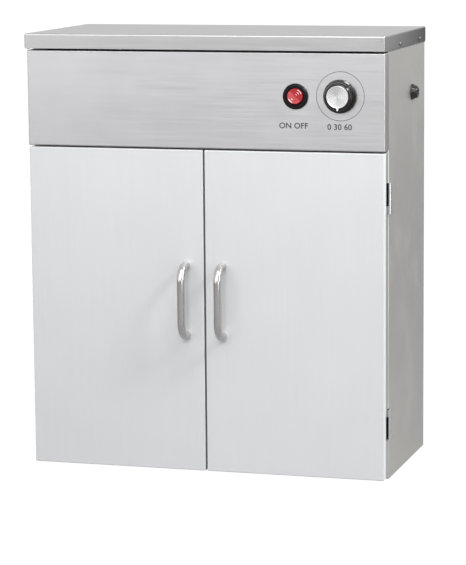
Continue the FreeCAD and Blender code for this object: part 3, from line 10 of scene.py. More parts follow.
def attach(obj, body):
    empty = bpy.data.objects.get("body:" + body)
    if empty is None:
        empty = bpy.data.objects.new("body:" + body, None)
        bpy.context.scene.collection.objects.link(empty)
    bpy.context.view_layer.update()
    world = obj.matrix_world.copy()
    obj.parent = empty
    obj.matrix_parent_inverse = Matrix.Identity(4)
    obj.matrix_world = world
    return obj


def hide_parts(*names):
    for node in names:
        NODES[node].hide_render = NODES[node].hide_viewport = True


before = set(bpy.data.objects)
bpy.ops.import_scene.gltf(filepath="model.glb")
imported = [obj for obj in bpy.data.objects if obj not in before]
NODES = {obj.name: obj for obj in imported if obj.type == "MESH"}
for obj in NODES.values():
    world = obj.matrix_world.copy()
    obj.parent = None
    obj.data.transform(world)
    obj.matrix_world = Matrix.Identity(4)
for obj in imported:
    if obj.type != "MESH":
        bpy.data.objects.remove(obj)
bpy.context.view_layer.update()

bl_info = {
    "name": "Knife Sterilizer Cabinet",
    "version": (1, 0, 0),
    "blender": (4, 5, 0),
    "location": "View3D > Sidebar > Cabinet",
    "description": "Builds the visible details, materials and stage of a knife sterilizer cabinet",
    "category": "Add Mesh",
}

MM = 0.001
SWITCH_PLACE = Vector((128.7, -122.5, 516.5)) * MM
KNOB_PLACE = Vector((189.6, -122.5, 517.4)) * MM
GLAND_PLACE = Vector((250.0, 40.5, 511.8)) * MM
DOOR_MIDDLE = 238.0 * MM
FACE_Y = -122.5 * MM
PRINT_Y = FACE_Y - 0.04 * MM
SWITCH_CAPTION_PLACE = Vector((125.6, 0.0, 477.2)) * MM
TIMER_CAPTION_PLACE = Vector((188.6, 0.0, 476.3)) * MM
KNOB_FLUTES = 30
FLUTES_FROM, FLUTES_TO = 5.5 * MM, 10.5 * MM
ROCKER_TILT, ROCKER_TURN = math.radians(-10), math.radians(45)
ROCKER_RISE = 4.6 * MM
DISH_ANGLE, DISH_SOFTNESS = math.radians(9), 0.8 * MM
RIB_HEIGHT, RIB_ROOT = 0.14 * MM, 0.5 * MM
SCREW_TOP = 1.6 * MM
RECESS_ARM, RECESS_HALF_WIDTH, RECESS_DEPTH = 1.6 * MM, 0.3 * MM, 1.1 * MM
COVER_SIDE_X, COVER_SCREW_Z, COVER_SCREW_YS = 251.0, 582.0, (-36.5, 84.5)
BACK_SCREW_X, BACK_SCREW_Y, BACK_SCREW_LOW, BACK_SCREW_HIGH = 242.0, 122.5, 30.0, 547.0
BACK_SCREW_ROWS = 4
# Size and place of the dark strips painted as a shadow line under the cover's skirt
SHADOW_STRIP_SIZE = Vector((1.0, 240.0, 1.6)) * MM
SHADOW_STRIP_X, SHADOW_STRIP_Z = 250.4 * MM, 576.3 * MM
# Width of the blend at the edge of the painted light and shade on the side faces
PAINTED_SHADE_STEP = 0.4 * MM
FLOOR_SIZE = 12.0
FLOOR_SHARES = (("Is Camera Ray", 0.88), ("Is Transmission Ray", 0.4), ("Is Glossy Ray", 0.12))
CAMERA_PLACE = Vector((0.999, -3.3495, 0.7835))
CAMERA_YAW, CAMERA_PITCH, CAMERA_ROLL = (math.radians(angle) for angle in (16.55, 8.77, -0.49))
SENSOR_WIDTH = 36.0
FOCAL_PIXELS, PICTURE_PIXELS = 2526.6, 565.0


# Settings


class CabinetSizes(PropertyGroup):
    """Sizes of the pieces that are modelled here."""

    bar_radius: FloatProperty(
        name="Handle bar radius", description="Half the thickness of the bow handles",
        default=5.25 * MM, unit="LENGTH")
    handle_spacing: FloatProperty(
        name="Handle spacing", description="Distance between a handle's two feet",
        default=96.0 * MM, unit="LENGTH")
    handle_reach: FloatProperty(
        name="Handle reach", description="Distance from the door to the middle of the bar",
        default=26.0 * MM, unit="LENGTH")
    handle_bend: FloatProperty(
        name="Handle bend", description="Radius of the bends along the middle of the bar",
        default=20.0 * MM, unit="LENGTH")
    handle_x: FloatProperty(
        name="Handle place", description="Distance of each handle from the cabinet's middle",
        default=25.65 * MM, unit="LENGTH")
    ring_radius: FloatProperty(
        name="Dial ring radius", description="Radius of the thin ring printed round the knob",
        default=32.4 * MM, unit="LENGTH")
    ring_width: FloatProperty(
        name="Dial ring width", description="Width of the printed ring's line",
        default=0.7 * MM, unit="LENGTH")
    print_height: FloatProperty(
        name="Lettering height", description="Height of the small printed captions",
        default=10.8 * MM, unit="LENGTH")
    cap_radius: FloatProperty(
        name="Knob cap radius", description="Radius of the spun metal cap on the knob",
        default=14.8 * MM, unit="LENGTH")
    flute_depth: FloatProperty(
        name="Flute depth", description="Half the depth of the flutes round the knob",
        default=0.25 * MM, unit="LENGTH")
    screw_head: FloatProperty(
        name="Screw head radius", description="Radius of the casing screws' heads",
        default=3.2 * MM, unit="LENGTH")


class CabinetColours(PropertyGroup):
    """Colours of the finishes."""

    casing: FloatVectorProperty(
        name="Casing steel", description="Colour of the casing's satin steel",
        subtype="COLOR", default=(0.47, 0.465, 0.47), min=0.0, max=1.0)
    door: FloatVectorProperty(
        name="Door steel", description="Colour of the doors' satin steel",
        subtype="COLOR", default=(0.598, 0.608, 0.617), min=0.0, max=1.0)
    side: FloatVectorProperty(
        name="Side steel", description="Colour of the side panels' steel",
        subtype="COLOR", default=(0.57, 0.555, 0.535), min=0.0, max=1.0)
    fascia: FloatVectorProperty(
        name="Fascia steel", description="Colour of the control panel",
        subtype="COLOR", default=(0.545, 0.54, 0.55), min=0.0, max=1.0)
    lens: FloatVectorProperty(
        name="Rocker red", description="Colour of the power switch's rocker",
        subtype="COLOR", default=(0.31, 0.02, 0.024), min=0.0, max=1.0)
    print_ink: FloatVectorProperty(
        name="Print grey", description="Colour of the printed ring and captions",
        subtype="COLOR", default=(0.05, 0.047, 0.047), min=0.0, max=1.0)


def sizes():
    """The sizes as the user has set them."""
    return bpy.context.scene.cabinet_sizes


def colours():
    """The colours as the user has set them."""
    return bpy.context.scene.cabinet_colours


# Node groups for effects that several finishes share


def socket(group, name, in_out, kind, default=None):
    """Add one socket to a node group."""
    item = group.interface.new_socket(name=name, in_out=in_out, socket_type=kind)
    if default is not None:
        item.default_value = default
    return item


def noise(nodes, detail, scale=None):
    """Noise texture; without a scale, that socket is linked."""
    node = nodes.new("ShaderNodeTexNoise")
    node.inputs["Detail"].default_value = detail
    if scale is not None:
        node.inputs["Scale"].default_value = scale
    return node


def maths(nodes, operation):
    """Math node for one operation."""
    node = nodes.new("ShaderNodeMath")
    node.operation = operation
    return node


def grain_group():
    """Fine directional lines of rolled or polished sheet, with slow waves over them."""
    group = bpy.data.node_groups.get("Sheet Grain")
    if group:
        return group
    group = bpy.data.node_groups.new("Sheet Grain", "ShaderNodeTree")
    socket(group, "Stretch", "INPUT", "NodeSocketVector", (1.0, 1.0, 1.0))
    socket(group, "Bump", "INPUT", "NodeSocketFloat", 0.05)
    socket(group, "Lines", "OUTPUT", "NodeSocketFloat")
    socket(group, "Waves", "OUTPUT", "NodeSocketFloat")
    socket(group, "Normal", "OUTPUT", "NodeSocketVector")
    nodes, links = group.nodes, group.links
    enter, leave = nodes.new("NodeGroupInput"), nodes.new("NodeGroupOutput")
    place = nodes.new("ShaderNodeTexCoord")
    mapping = nodes.new("ShaderNodeMapping")
    fine = noise(nodes, 3.0, 900.0)
    slow = noise(nodes, 2.0, 5.0)
    bump = nodes.new("ShaderNodeBump")
    bump.inputs["Distance"].default_value = 0.0002
    links.new(place.outputs["Object"], mapping.inputs["Vector"])
    links.new(enter.outputs["Stretch"], mapping.inputs["Scale"])
    links.new(mapping.outputs["Vector"], fine.inputs["Vector"])
    links.new(place.outputs["Object"], slow.inputs["Vector"])
    links.new(enter.outputs["Bump"], bump.inputs["Strength"])
    links.new(fine.outputs["Fac"], bump.inputs["Height"])
    links.new(fine.outputs["Fac"], leave.inputs["Lines"])
    links.new(slow.outputs["Fac"], leave.inputs["Waves"])
    links.new(bump.outputs["Normal"], leave.inputs["Normal"])
    return group


def wear_group():
    """Mask of small rubs and finger marks, strongest in scattered patches."""
    group = bpy.data.node_groups.get("Handling Marks")
    if group:
        return group
    group = bpy.data.node_groups.new("Handling Marks", "ShaderNodeTree")
    socket(group, "Patch Scale", "INPUT", "NodeSocketFloat", 18.0)
    socket(group, "Marks", "OUTPUT", "NodeSocketFloat")
    nodes, links = group.nodes, group.links
    enter, leave = nodes.new("NodeGroupInput"), nodes.new("NodeGroupOutput")
    place = nodes.new("ShaderNodeTexCoord")
    patches = noise(nodes, 4.0)
    specks = noise(nodes, 2.0, 420.0)
    ramp = nodes.new("ShaderNodeMapRange")
    ramp.inputs["From Min"].default_value = 0.48
    ramp.inputs["From Max"].default_value = 0.72
    multiply = maths(nodes, "MULTIPLY")
    links.new(place.outputs["Object"], patches.inputs["Vector"])
    links.new(place.outputs["Object"], specks.inputs["Vector"])
    links.new(enter.outputs["Patch Scale"], patches.inputs["Scale"])
    links.new(patches.outputs["Fac"], ramp.inputs["Value"])
    links.new(ramp.outputs["Result"], multiply.inputs[0])
    links.new(specks.outputs["Fac"], multiply.inputs[1])
    links.new(multiply.outputs["Value"], leave.inputs["Marks"])
    return group


def mould_group():
    """Fine texture of moulded plastic or rubber, with slight unevenness of shade."""
    group = bpy.data.node_groups.get("Moulded Skin")
    if group:
        return group
    group = bpy.data.node_groups.new("Moulded Skin", "ShaderNodeTree")
    socket(group, "Grain Scale", "INPUT", "NodeSocketFloat", 1600.0)
    socket(group, "Bump", "INPUT", "NodeSocketFloat", 0.1)
    socket(group, "Shade", "OUTPUT", "NodeSocketFloat")
    socket(group, "Normal", "OUTPUT", "NodeSocketVector")
    nodes, links = group.nodes, group.links
    enter, leave = nodes.new("NodeGroupInput"), nodes.new("NodeGroupOutput")
    place = nodes.new("ShaderNodeTexCoord")
    grain = noise(nodes, 2.0)
    shade = noise(nodes, 3.0, 60.0)
    bump = nodes.new("ShaderNodeBump")
    bump.inputs["Distance"].default_value = 0.0002
    links.new(place.outputs["Object"], grain.inputs["Vector"])
    links.new(place.outputs["Object"], shade.inputs["Vector"])
    links.new(enter.outputs["Grain Scale"], grain.inputs["Scale"])
    links.new(enter.outputs["Bump"], bump.inputs["Strength"])
    links.new(grain.outputs["Fac"], bump.inputs["Height"])
    links.new(shade.outputs["Fac"], leave.inputs["Shade"])
    links.new(bump.outputs["Normal"], leave.inputs["Normal"])
    return group


# Materials


def new_material(name):
    """Empty material with its shader: the material, its nodes, its links and the shader."""
    material = bpy.data.materials.new(name)
    material.use_nodes = True
    nodes, links = material.node_tree.nodes, material.node_tree.links
    return material, nodes, links, nodes["Principled BSDF"]


def placed(nodes, group):
    """A node group placed in a material."""
    node = nodes.new("ShaderNodeGroup")
    node.node_tree = group
    return node


def shaded(colour, factor):
    """The colour made lighter or darker, with its alpha."""
    return tuple(min(1.0, part * factor) for part in colour[:3]) + (1.0,)


def mixed_colour(nodes, links, mask, first, second):
    """Colour that goes from first to second as the mask rises."""
    mix = nodes.new("ShaderNodeMix")
    mix.data_type = "RGBA"
    mix.inputs["A"].default_value = first
    mix.inputs["B"].default_value = second
    links.new(mask, mix.inputs["Factor"])
    return mix.outputs["Result"]


def ranged(nodes, links, value, low, high):
    """The value spread between two limits."""
    node = nodes.new("ShaderNodeMapRange")
    node.inputs["From Min"].default_value = 0.3
    node.inputs["From Max"].default_value = 0.7
    node.inputs["To Min"].default_value = low
    node.inputs["To Max"].default_value = high
    links.new(value, node.inputs["Value"])
    return node.outputs["Result"]


def steel(name, colour, stretch, rough, bump=0.05, contrast=0.04, metal=1.0, wear=0.12):
    """Satin sheet steel: fine lines along one direction, slow waves and handling marks."""
    material, nodes, links, shader = new_material(name)
    grain = placed(nodes, grain_group())
    grain.inputs["Stretch"].default_value = stretch
    grain.inputs["Bump"].default_value = bump
    marks = placed(nodes, wear_group())
    tone = mixed_colour(nodes, links, ranged(nodes, links, grain.outputs["Lines"], 0.0, 1.0),
                        shaded(colour, 1.0 - contrast), shaded(colour, 1.0 + contrast))
    waves = nodes.new("ShaderNodeMix")
    waves.data_type = "RGBA"
    waves.blend_type = "MULTIPLY"
    waves.inputs["Factor"].default_value = 0.08
    links.new(tone, waves.inputs["A"])
    links.new(grain.outputs["Waves"], waves.inputs["B"])
    links.new(waves.outputs["Result"], shader.inputs["Base Color"])
    add = maths(nodes, "MULTIPLY_ADD")
    add.inputs[1].default_value = wear
    links.new(marks.outputs["Marks"], add.inputs[0])
    links.new(ranged(nodes, links, grain.outputs["Lines"], rough - 0.04, rough + 0.04),
              add.inputs[2])
    links.new(add.outputs["Value"], shader.inputs["Roughness"])
    links.new(grain.outputs["Normal"], shader.inputs["Normal"])
    shader.inputs["Metallic"].default_value = metal
    return material


def paint_side_light_and_shade(material, limit, front, back, front_painted_light_shade, back_painted_light_shade):
    """Paint light and shade on the faces towards the cabinet's sides: darken or lighten them, from
    one factor to another along Y.
    """
    nodes, links = material.node_tree.nodes, material.node_tree.links
    base = nodes["Principled BSDF"].inputs["Base Color"]
    tone = base.links[0].from_socket
    place = nodes.new("ShaderNodeTexCoord")
    split = nodes.new("ShaderNodeSeparateXYZ")
    distance = maths(nodes, "ABSOLUTE")
    mask = nodes.new("ShaderNodeMapRange")
    mask.inputs["From Min"].default_value = limit
    mask.inputs["From Max"].default_value = limit + PAINTED_SHADE_STEP
    depth = nodes.new("ShaderNodeMapRange")
    depth.inputs["From Min"].default_value = front
    depth.inputs["From Max"].default_value = back
    shade = nodes.new("ShaderNodeMix")
    shade.data_type = "RGBA"
    shade.blend_type = "MULTIPLY"
    links.new(place.outputs["Object"], split.inputs["Vector"])
    links.new(split.outputs["X"], distance.inputs[0])
    links.new(distance.outputs["Value"], mask.inputs["Value"])
    links.new(split.outputs["Y"], depth.inputs["Value"])
    links.new(mask.outputs["Result"], shade.inputs["Factor"])
    links.new(tone, shade.inputs["A"])
    links.new(mixed_colour(nodes, links, depth.outputs["Result"],
                           (front_painted_light_shade, front_painted_light_shade, front_painted_light_shade, 1.0),
                           (back_painted_light_shade, back_painted_light_shade, back_painted_light_shade, 1.0)), shade.inputs["B"])
    links.new(shade.outputs["Result"], base)
    return material


def dull_edges(material, tint):
    """Hold back the metal's brightness where it is seen at a low angle."""
    material.node_tree.nodes["Principled BSDF"].inputs["Specular Tint"].default_value = (
        tint, tint, tint, 1.0)
    return material


def plastic(name, colour, rough, bump=0.1, coat=0.0, contrast=0.06, gloss=0.35):
    """Moulded plastic or rubber."""
    material, nodes, links, shader = new_material(name)
    skin = placed(nodes, mould_group())
    skin.inputs["Bump"].default_value = bump
    marks = placed(nodes, wear_group())
    marks.inputs["Patch Scale"].default_value = 55.0
    tone = mixed_colour(nodes, links, ranged(nodes, links, skin.outputs["Shade"], 0.0, 1.0),
                        shaded(colour, 1.0 - contrast), shaded(colour, 1.0 + contrast))
    links.new(tone, shader.inputs["Base Color"])
    add = maths(nodes, "MULTIPLY_ADD")
    add.inputs[1].default_value = 0.15
    add.inputs[2].default_value = rough
    links.new(marks.outputs["Marks"], add.inputs[0])
    links.new(add.outputs["Value"], shader.inputs["Roughness"])
    links.new(skin.outputs["Normal"], shader.inputs["Normal"])
    shader.inputs["Specular IOR Level"].default_value = gloss
    shader.inputs["Coat Weight"].default_value = coat
    shader.inputs["Coat Roughness"].default_value = 0.06
    return material


def spun_metal(name, colour, centre, rough):
    """Metal turned on a lathe: rings round an axis that runs along Y, with a painted highlight of
    lighter and darker sectors round it.
    """
    material, nodes, links, shader = new_material(name)
    place = nodes.new("ShaderNodeTexCoord")
    mapping = nodes.new("ShaderNodeMapping")
    mapping.vector_type = "POINT"
    mapping.inputs["Location"].default_value = (-centre.x, 0.0, -centre.z)
    mapping.inputs["Scale"].default_value = (1.0, 0.0, 1.0)
    length = nodes.new("ShaderNodeVectorMath")
    length.operation = "LENGTH"
    rings = nodes.new("ShaderNodeTexNoise")
    rings.noise_dimensions = "1D"
    rings.inputs["Scale"].default_value = 3200.0
    rings.inputs["Detail"].default_value = 2.0
    split = nodes.new("ShaderNodeSeparateXYZ")
    # Painted highlight: lighter and darker sectors of sheen round the axis
    angle = maths(nodes, "ARCTAN2")
    painted_sheen_sectors = maths(nodes, "MULTIPLY_ADD")
    painted_sheen_sectors.inputs[1].default_value = 2.0
    painted_sheen_sectors.inputs[2].default_value = 0.9
    painted_sheen_fan = maths(nodes, "SINE")
    links.new(place.outputs["Object"], mapping.inputs["Vector"])
    links.new(mapping.outputs["Vector"], length.inputs[0])
    links.new(mapping.outputs["Vector"], split.inputs["Vector"])
    links.new(split.outputs["Z"], angle.inputs[0])
    links.new(split.outputs["X"], angle.inputs[1])
    links.new(angle.outputs["Value"], painted_sheen_sectors.inputs[0])
    links.new(painted_sheen_sectors.outputs["Value"], painted_sheen_fan.inputs[0])
    links.new(length.outputs["Value"], rings.inputs["W"])
    blend = maths(nodes, "MULTIPLY_ADD")
    blend.inputs[1].default_value = 0.16
    links.new(painted_sheen_fan.outputs["Value"], blend.inputs[0])
    links.new(rings.outputs["Fac"], blend.inputs[2])
    # Rings and painted sheen mixed between a darker and a lighter copy of the colour
    tone = mixed_colour(nodes, links, ranged(nodes, links, blend.outputs["Value"], 0.0, 1.0),
                        shaded(colour, 0.80), shaded(colour, 1.22))
    links.new(tone, shader.inputs["Base Color"])
    bump = nodes.new("ShaderNodeBump")
    bump.inputs["Strength"].default_value = 0.12
    bump.inputs["Distance"].default_value = 0.0001
    links.new(rings.outputs["Fac"], bump.inputs["Height"])
    links.new(bump.outputs["Normal"], shader.inputs["Normal"])
    links.new(ranged(nodes, links, rings.outputs["Fac"], rough - 0.05, rough + 0.05),
              shader.inputs["Roughness"])
    shader.inputs["Metallic"].default_value = 1.0
    return material


def lamp_glass(name):
    """Clear glass of the lamp, a little uneven."""
    material, nodes, links, shader = new_material(name)
    skin = placed(nodes, mould_group())
    skin.inputs["Bump"].default_value = 0.02
    links.new(mixed_colour(nodes, links, skin.outputs["Shade"], (0.93, 0.96, 0.99, 1.0),
                           (0.97, 0.98, 1.0, 1.0)), shader.inputs["Base Color"])
    links.new(ranged(nodes, links, skin.outputs["Shade"], 0.03, 0.09), shader.inputs["Roughness"])
    shader.inputs["Transmission Weight"].default_value = 0.85
    shader.inputs["IOR"].default_value = 1.46
    return material


def red_lens(name, colour):
    """Translucent red plastic of the rocker, with a faint painted glow."""
    material, nodes, links, shader = new_material(name)
    skin = placed(nodes, mould_group())
    skin.inputs["Bump"].default_value = 0.03
    tone = mixed_colour(nodes, links, skin.outputs["Shade"], shaded(colour, 0.9),
                        shaded(colour, 1.1))
    links.new(tone, shader.inputs["Base Color"])
    # Painted glow: a faint emission in the rocker's own red
    links.new(tone, shader.inputs["Emission Color"])
    shader.inputs["Emission Strength"].default_value = 0.05
    links.new(ranged(nodes, links, skin.outputs["Shade"], 0.30, 0.38), shader.inputs["Roughness"])
    shader.inputs["Specular IOR Level"].default_value = 0.2
    return material


FINISHES = {}


def make_finishes():
    """Every finish of the cabinet, under its own name."""
    c = colours()
    upright, level, fine = (1.0, 1.0, 0.012), (0.012, 1.0, 1.0), (1.0, 1.0, 1.0)
    front, back = -117.0 * MM, -108.0 * MM
    door = steel("Door Satin Steel", c.door, upright, 0.42, 0.04, 0.015, 0.3, 0.08)
    fascia = steel("Fascia Satin Steel", c.fascia, level, 0.34, 0.04, 0.015, 1.0, 0.05)
    cover = steel("Cover Satin Steel", c.casing, level, 0.32, 0.04, 0.02, 1.0, 0.04)
    # Painted shade: the cover's side skirts darkened, most towards the back
    paint_side_light_and_shade(cover, 250.4 * MM, -110.0 * MM, 115.0 * MM, 0.98, 0.18)
    FINISHES.update({
        # Painted light: the doors' side faces lightened
        "door": paint_side_light_and_shade(door, 248.6 * MM, front, back, 1.5, 1.5),
        "liner": steel("Liner Satin Steel", c.door, upright, 0.40, 0.04, 0.02, 1.0, 0.04),
        # Painted shade: the fascia's side returns a little darker towards the back
        "fascia": paint_side_light_and_shade(fascia, 249.4 * MM, front, back, 1.0, 0.95),
        "cover": dull_edges(cover, 0.8),
        "side": steel("Side Satin Steel", c.side, upright, 0.46, 0.05, 0.02),
        "casing": steel("Casing Sheet Steel", c.casing, level, 0.40, 0.05, 0.03),
        "back": steel("Back Sheet Steel", c.side, level, 0.48, 0.05, 0.03),
        "polished": steel("Polished Bar Steel", (0.55, 0.532, 0.517), fine, 0.10, 0.01, 0.02),
        "comb": steel("Comb Satin Steel", (0.62, 0.62, 0.62), level, 0.34, 0.05, 0.03),
        "hinge": steel("Hinge Steel", (0.66, 0.65, 0.64), upright, 0.20, 0.05, 0.04),
        "screw": steel("Screw Steel", (0.60, 0.60, 0.60), fine, 0.26, 0.03, 0.05),
        "dull_screw": steel("Dull Screw Steel", (0.24, 0.235, 0.23), fine, 0.40, 0.03, 0.05),
        "reflector": steel("Reflector Aluminium", (0.80, 0.81, 0.82), level, 0.18, 0.02, 0.02),
        "magnet": steel("Magnet Iron", (0.16, 0.16, 0.17), level, 0.5, 0.1, 0.1, 0.8),
        "ballast": plastic("Ballast Paint", (0.72, 0.72, 0.70), 0.4, 0.1),
        "white": plastic("White Plastic", (0.78, 0.78, 0.75), 0.38, 0.05),
        "black": plastic("Black Plastic", (0.010, 0.009, 0.010), 0.30, 0.05, 0.0, 0.06, 0.2),
        "gloss": plastic("Knob Black Plastic", (0.005, 0.004, 0.004), 0.08, 0.02, 0.0, 0.06, 0.42),
        "rubber": plastic("Seal Rubber", (0.10, 0.10, 0.10), 0.62, 0.25),
        "wire": plastic("Lead Insulation", (0.20, 0.20, 0.21), 0.42, 0.05),
        "red": red_lens("Rocker Red Plastic", c.lens),
        "glass": lamp_glass("Lamp Glass"),
        "bezel": plastic("Bezel Black Plastic", (0.006, 0.005, 0.006), 0.34, 0.04, 0.0, 0.06, 0.14),
        "gland": plastic("Gland Black Nylon", (0.006, 0.005, 0.0045), 0.06, 0.02, 0.0, 0.06, 0.6),
        # Painted highlight: the rocker ribs' pale colour stands in for the highlights along them
        "rib": plastic("Painted Highlight Rib Plastic", (0.86, 0.70, 0.68), 0.3, 0.02),
        "ink": plastic("Print Ink", c.print_ink, 0.55, 0.02),
        "white_ink": plastic("White Print Ink", (0.80, 0.80, 0.79), 0.5, 0.02),
        "cap": spun_metal("Spun Knob Cap", (0.74, 0.745, 0.75), KNOB_PLACE, 0.27),
        "tube_cap": steel("Lamp Cap Aluminium", (0.75, 0.75, 0.76), fine, 0.3, 0.02, 0.03),
    })


NODE_FINISHES = {
    "side": ("right_side_panel", "left_side_panel"),
    "back": ("back_panel",),
    "cover": ("top_cover",),
    "fascia": ("fascia_panel",),
    "door": ("right_door_panel", "left_door_panel"),
    "liner": ("right_door_liner", "left_door_liner"),
    "casing": ("base_panel", "chamber_ceiling", "rack_ledges", "wire_duct", "drip_tray"),
    "comb": ("upper_knife_comb", "lower_knife_comb"),
    "polished": ("lamp_guard",),
    "hinge": ("hinge_pins", "right_hinge_frame_leaves", "left_hinge_frame_leaves",
              "right_hinge_door_leaves", "left_hinge_door_leaves"),
    "screw": ("back_panel_screws", "cover_screws", "fascia_screws", "timer_screws",
              "timer_shaft", "right_handle_screws", "left_handle_screws",
              "right_strike_plate", "left_strike_plate"),
    "reflector": ("lamp_reflector",),
    "tube_cap": ("lamp_caps",),
    "glass": ("uv_lamp_tube",),
    "magnet": ("catch_magnets",),
    "ballast": ("ballast",),
    "white": ("right_lampholder", "left_lampholder", "timer_body", "catch_body",
              "starter_holder", "lamp_starter", "terminal_block", "right_switch_plunger",
              "left_switch_plunger"),
    "black": ("switch_body", "cable_gland", "gland_locknut", "right_door_switch",
              "left_door_switch"),
    "gloss": ("timer_knob",),
    "cap": ("knob_cap",),
    "red": ("switch_rocker",),
    "rubber": ("right_door_seal", "left_door_seal", "ceiling_grommet"),
    "wire": ("wiring",),
}


# Mesh helpers


def linked_object(name, bm, finish, body):
    """Turn a bmesh into an object that has its finish and moves with a body."""
    mesh = bpy.data.meshes.new(name)
    bm.to_mesh(mesh)
    bm.free()
    made = bpy.data.objects.new(name, mesh)
    bpy.context.scene.collection.objects.link(made)
    mesh.materials.append(FINISHES[finish])
    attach(made, body)
    return made


def piece(name, bm, finish, body, smooth=35.0):
    """Turn a bmesh into a solid piece, smooth up to an angle in degrees."""
    bmesh.ops.remove_doubles(bm, verts=bm.verts, dist=1e-6)
    bmesh.ops.recalc_face_normals(bm, faces=bm.faces)
    made = linked_object(name, bm, finish, body)
    made.data.shade_smooth()
    made.data.set_sharp_from_angle(angle=math.radians(smooth))
    return made


def moved_verts(made):
    """The vertices among the items that an operator made."""
    return [item for item in made if isinstance(item, bmesh.types.BMVert)]


def turn_profile(bm, points, centre, axis, steps=96):
    """Spin a line of points, given as (along, radius), round an axis through centre."""
    axis = axis.normalized()
    side = Vector((0, 0, 1)) if abs(axis.z) < 0.5 else Vector((1, 0, 0))
    verts = [bm.verts.new(centre + axis * along + side * radius) for along, radius in points]
    edges = [bm.edges.new(pair) for pair in zip(verts, verts[1:])]
    made = bmesh.ops.spin(bm, geom=verts + edges, cent=centre, axis=axis,
                          angle=math.tau, steps=steps, use_merge=True, use_duplicate=False)
    bmesh.ops.remove_doubles(bm, verts=bm.verts, dist=1e-7)
    return made


def rounded_profile(points, radii, steps=5):
    """The profile's points with each corner replaced by a short arc."""
    result = []
    for i, point in enumerate(points):
        here = Vector(point)
        if i in (0, len(points) - 1) or radii[i] <= 0:
            result.append(tuple(here))
            continue
        before = Vector(points[i - 1]) - here
        after = Vector(points[i + 1]) - here
        turn = before.angle(after)
        reach = min(radii[i] / math.tan(turn / 2), before.length * 0.49, after.length * 0.49)
        start = here + before.normalized() * reach
        end = here + after.normalized() * reach
        for step in range(steps + 1):
            t = step / steps
            result.append(tuple(start * (1 - t) ** 2 + here * 2 * t * (1 - t) + end * t ** 2))
    return result


def flat_ring(bm, centre, inner, outer, y, steps=128):
    """Flat ring that faces the front."""
    points = [(0.0, inner), (0.0, outer)]
    turn_profile(bm, points, Vector((centre.x, y, centre.z)), Vector((0, 1, 0)), steps)


def face_front(bm):
    """Turn the faces of a flat print towards the front."""
    bm.normal_update()
    turned = [face for face in bm.faces if face.normal.y > 0]
    bmesh.ops.reverse_faces(bm, faces=turned)


def print_piece(name, bm, finish, body):
    """A thin print that faces the front."""
    bmesh.ops.remove_doubles(bm, verts=bm.verts, dist=1e-7)
    face_front(bm)
    return linked_object(name, bm, finish, body)


def printed_words(name, words, height, centre, y, finish, body):
    """Lettering as a flat mesh on the front."""
    curve = bpy.data.curves.new(name + "_line", "FONT")
    curve.body = words
    curve.size = height
    curve.offset = height * 0.018
    curve.space_character = 1.02
    curve.align_x = "CENTER"
    curve.align_y = "CENTER"
    curve.resolution_u = 4
    holder = bpy.data.objects.new(name + "_line", curve)
    bpy.context.scene.collection.objects.link(holder)
    bpy.context.view_layer.update()
    mesh = bpy.data.meshes.new_from_object(holder)
    bpy.data.objects.remove(holder)
    bpy.data.curves.remove(curve)
    bm = bmesh.new()
    bm.from_mesh(mesh)
    bpy.data.meshes.remove(mesh)
    place = Matrix.Translation((centre.x, y, centre.z)) @ Matrix.Rotation(math.pi / 2, 4, "X")
    bmesh.ops.transform(bm, matrix=place, verts=bm.verts)
    return print_piece(name, bm, finish, body)


# Pieces


def bow_handle(side):
    """One bow handle as a round bar, extruded and spun along its bends."""
    s = sizes()
    x = side * s.handle_x
    top = DOOR_MIDDLE + s.handle_spacing / 2
    bm = bmesh.new()
    place = Matrix.Translation((x, FACE_Y, top)) @ Matrix.Rotation(math.pi / 2, 4, "X")
    bmesh.ops.create_circle(bm, cap_ends=False, segments=40, radius=s.bar_radius, matrix=place)
    loop = list(bm.edges)

    def run(edges, offset):
        made = bmesh.ops.extrude_edge_only(bm, edges=edges)["geom"]
        verts = moved_verts(made)
        bmesh.ops.translate(bm, verts=verts, vec=offset)
        return [item for item in made if isinstance(item, bmesh.types.BMEdge)
                and all(vert in verts for vert in item.verts)]

    def bend(edges, centre, steps=14):
        for _ in range(steps):
            made = bmesh.ops.extrude_edge_only(bm, edges=edges)["geom"]
            verts = moved_verts(made)
            bmesh.ops.rotate(bm, verts=verts, cent=centre,
                             matrix=Matrix.Rotation(math.pi / 2 / steps, 3, "X"))
            edges = [item for item in made if isinstance(item, bmesh.types.BMEdge)
                     and all(vert in verts for vert in item.verts)]
        return edges

    straight = s.handle_reach - s.handle_bend
    loop = run(loop, Vector((0, -straight, 0)))
    loop = bend(loop, Vector((x, FACE_Y - straight, top - s.handle_bend)))
    loop = run(loop, Vector((0, 0, -(s.handle_spacing - 2 * s.handle_bend))))
    bottom = DOOR_MIDDLE - s.handle_spacing / 2
    loop = bend(loop, Vector((x, FACE_Y - straight, bottom + s.handle_bend)))
    run(loop, Vector((0, straight, 0)))
    bmesh.ops.holes_fill(bm, edges=[edge for edge in bm.edges if edge.is_boundary], sides=0)
    word = "right" if side > 0 else "left"
    made = piece(word + "_bow_bar", bm, "polished", word + "_door", 40)
    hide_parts(word + "_door_handle")


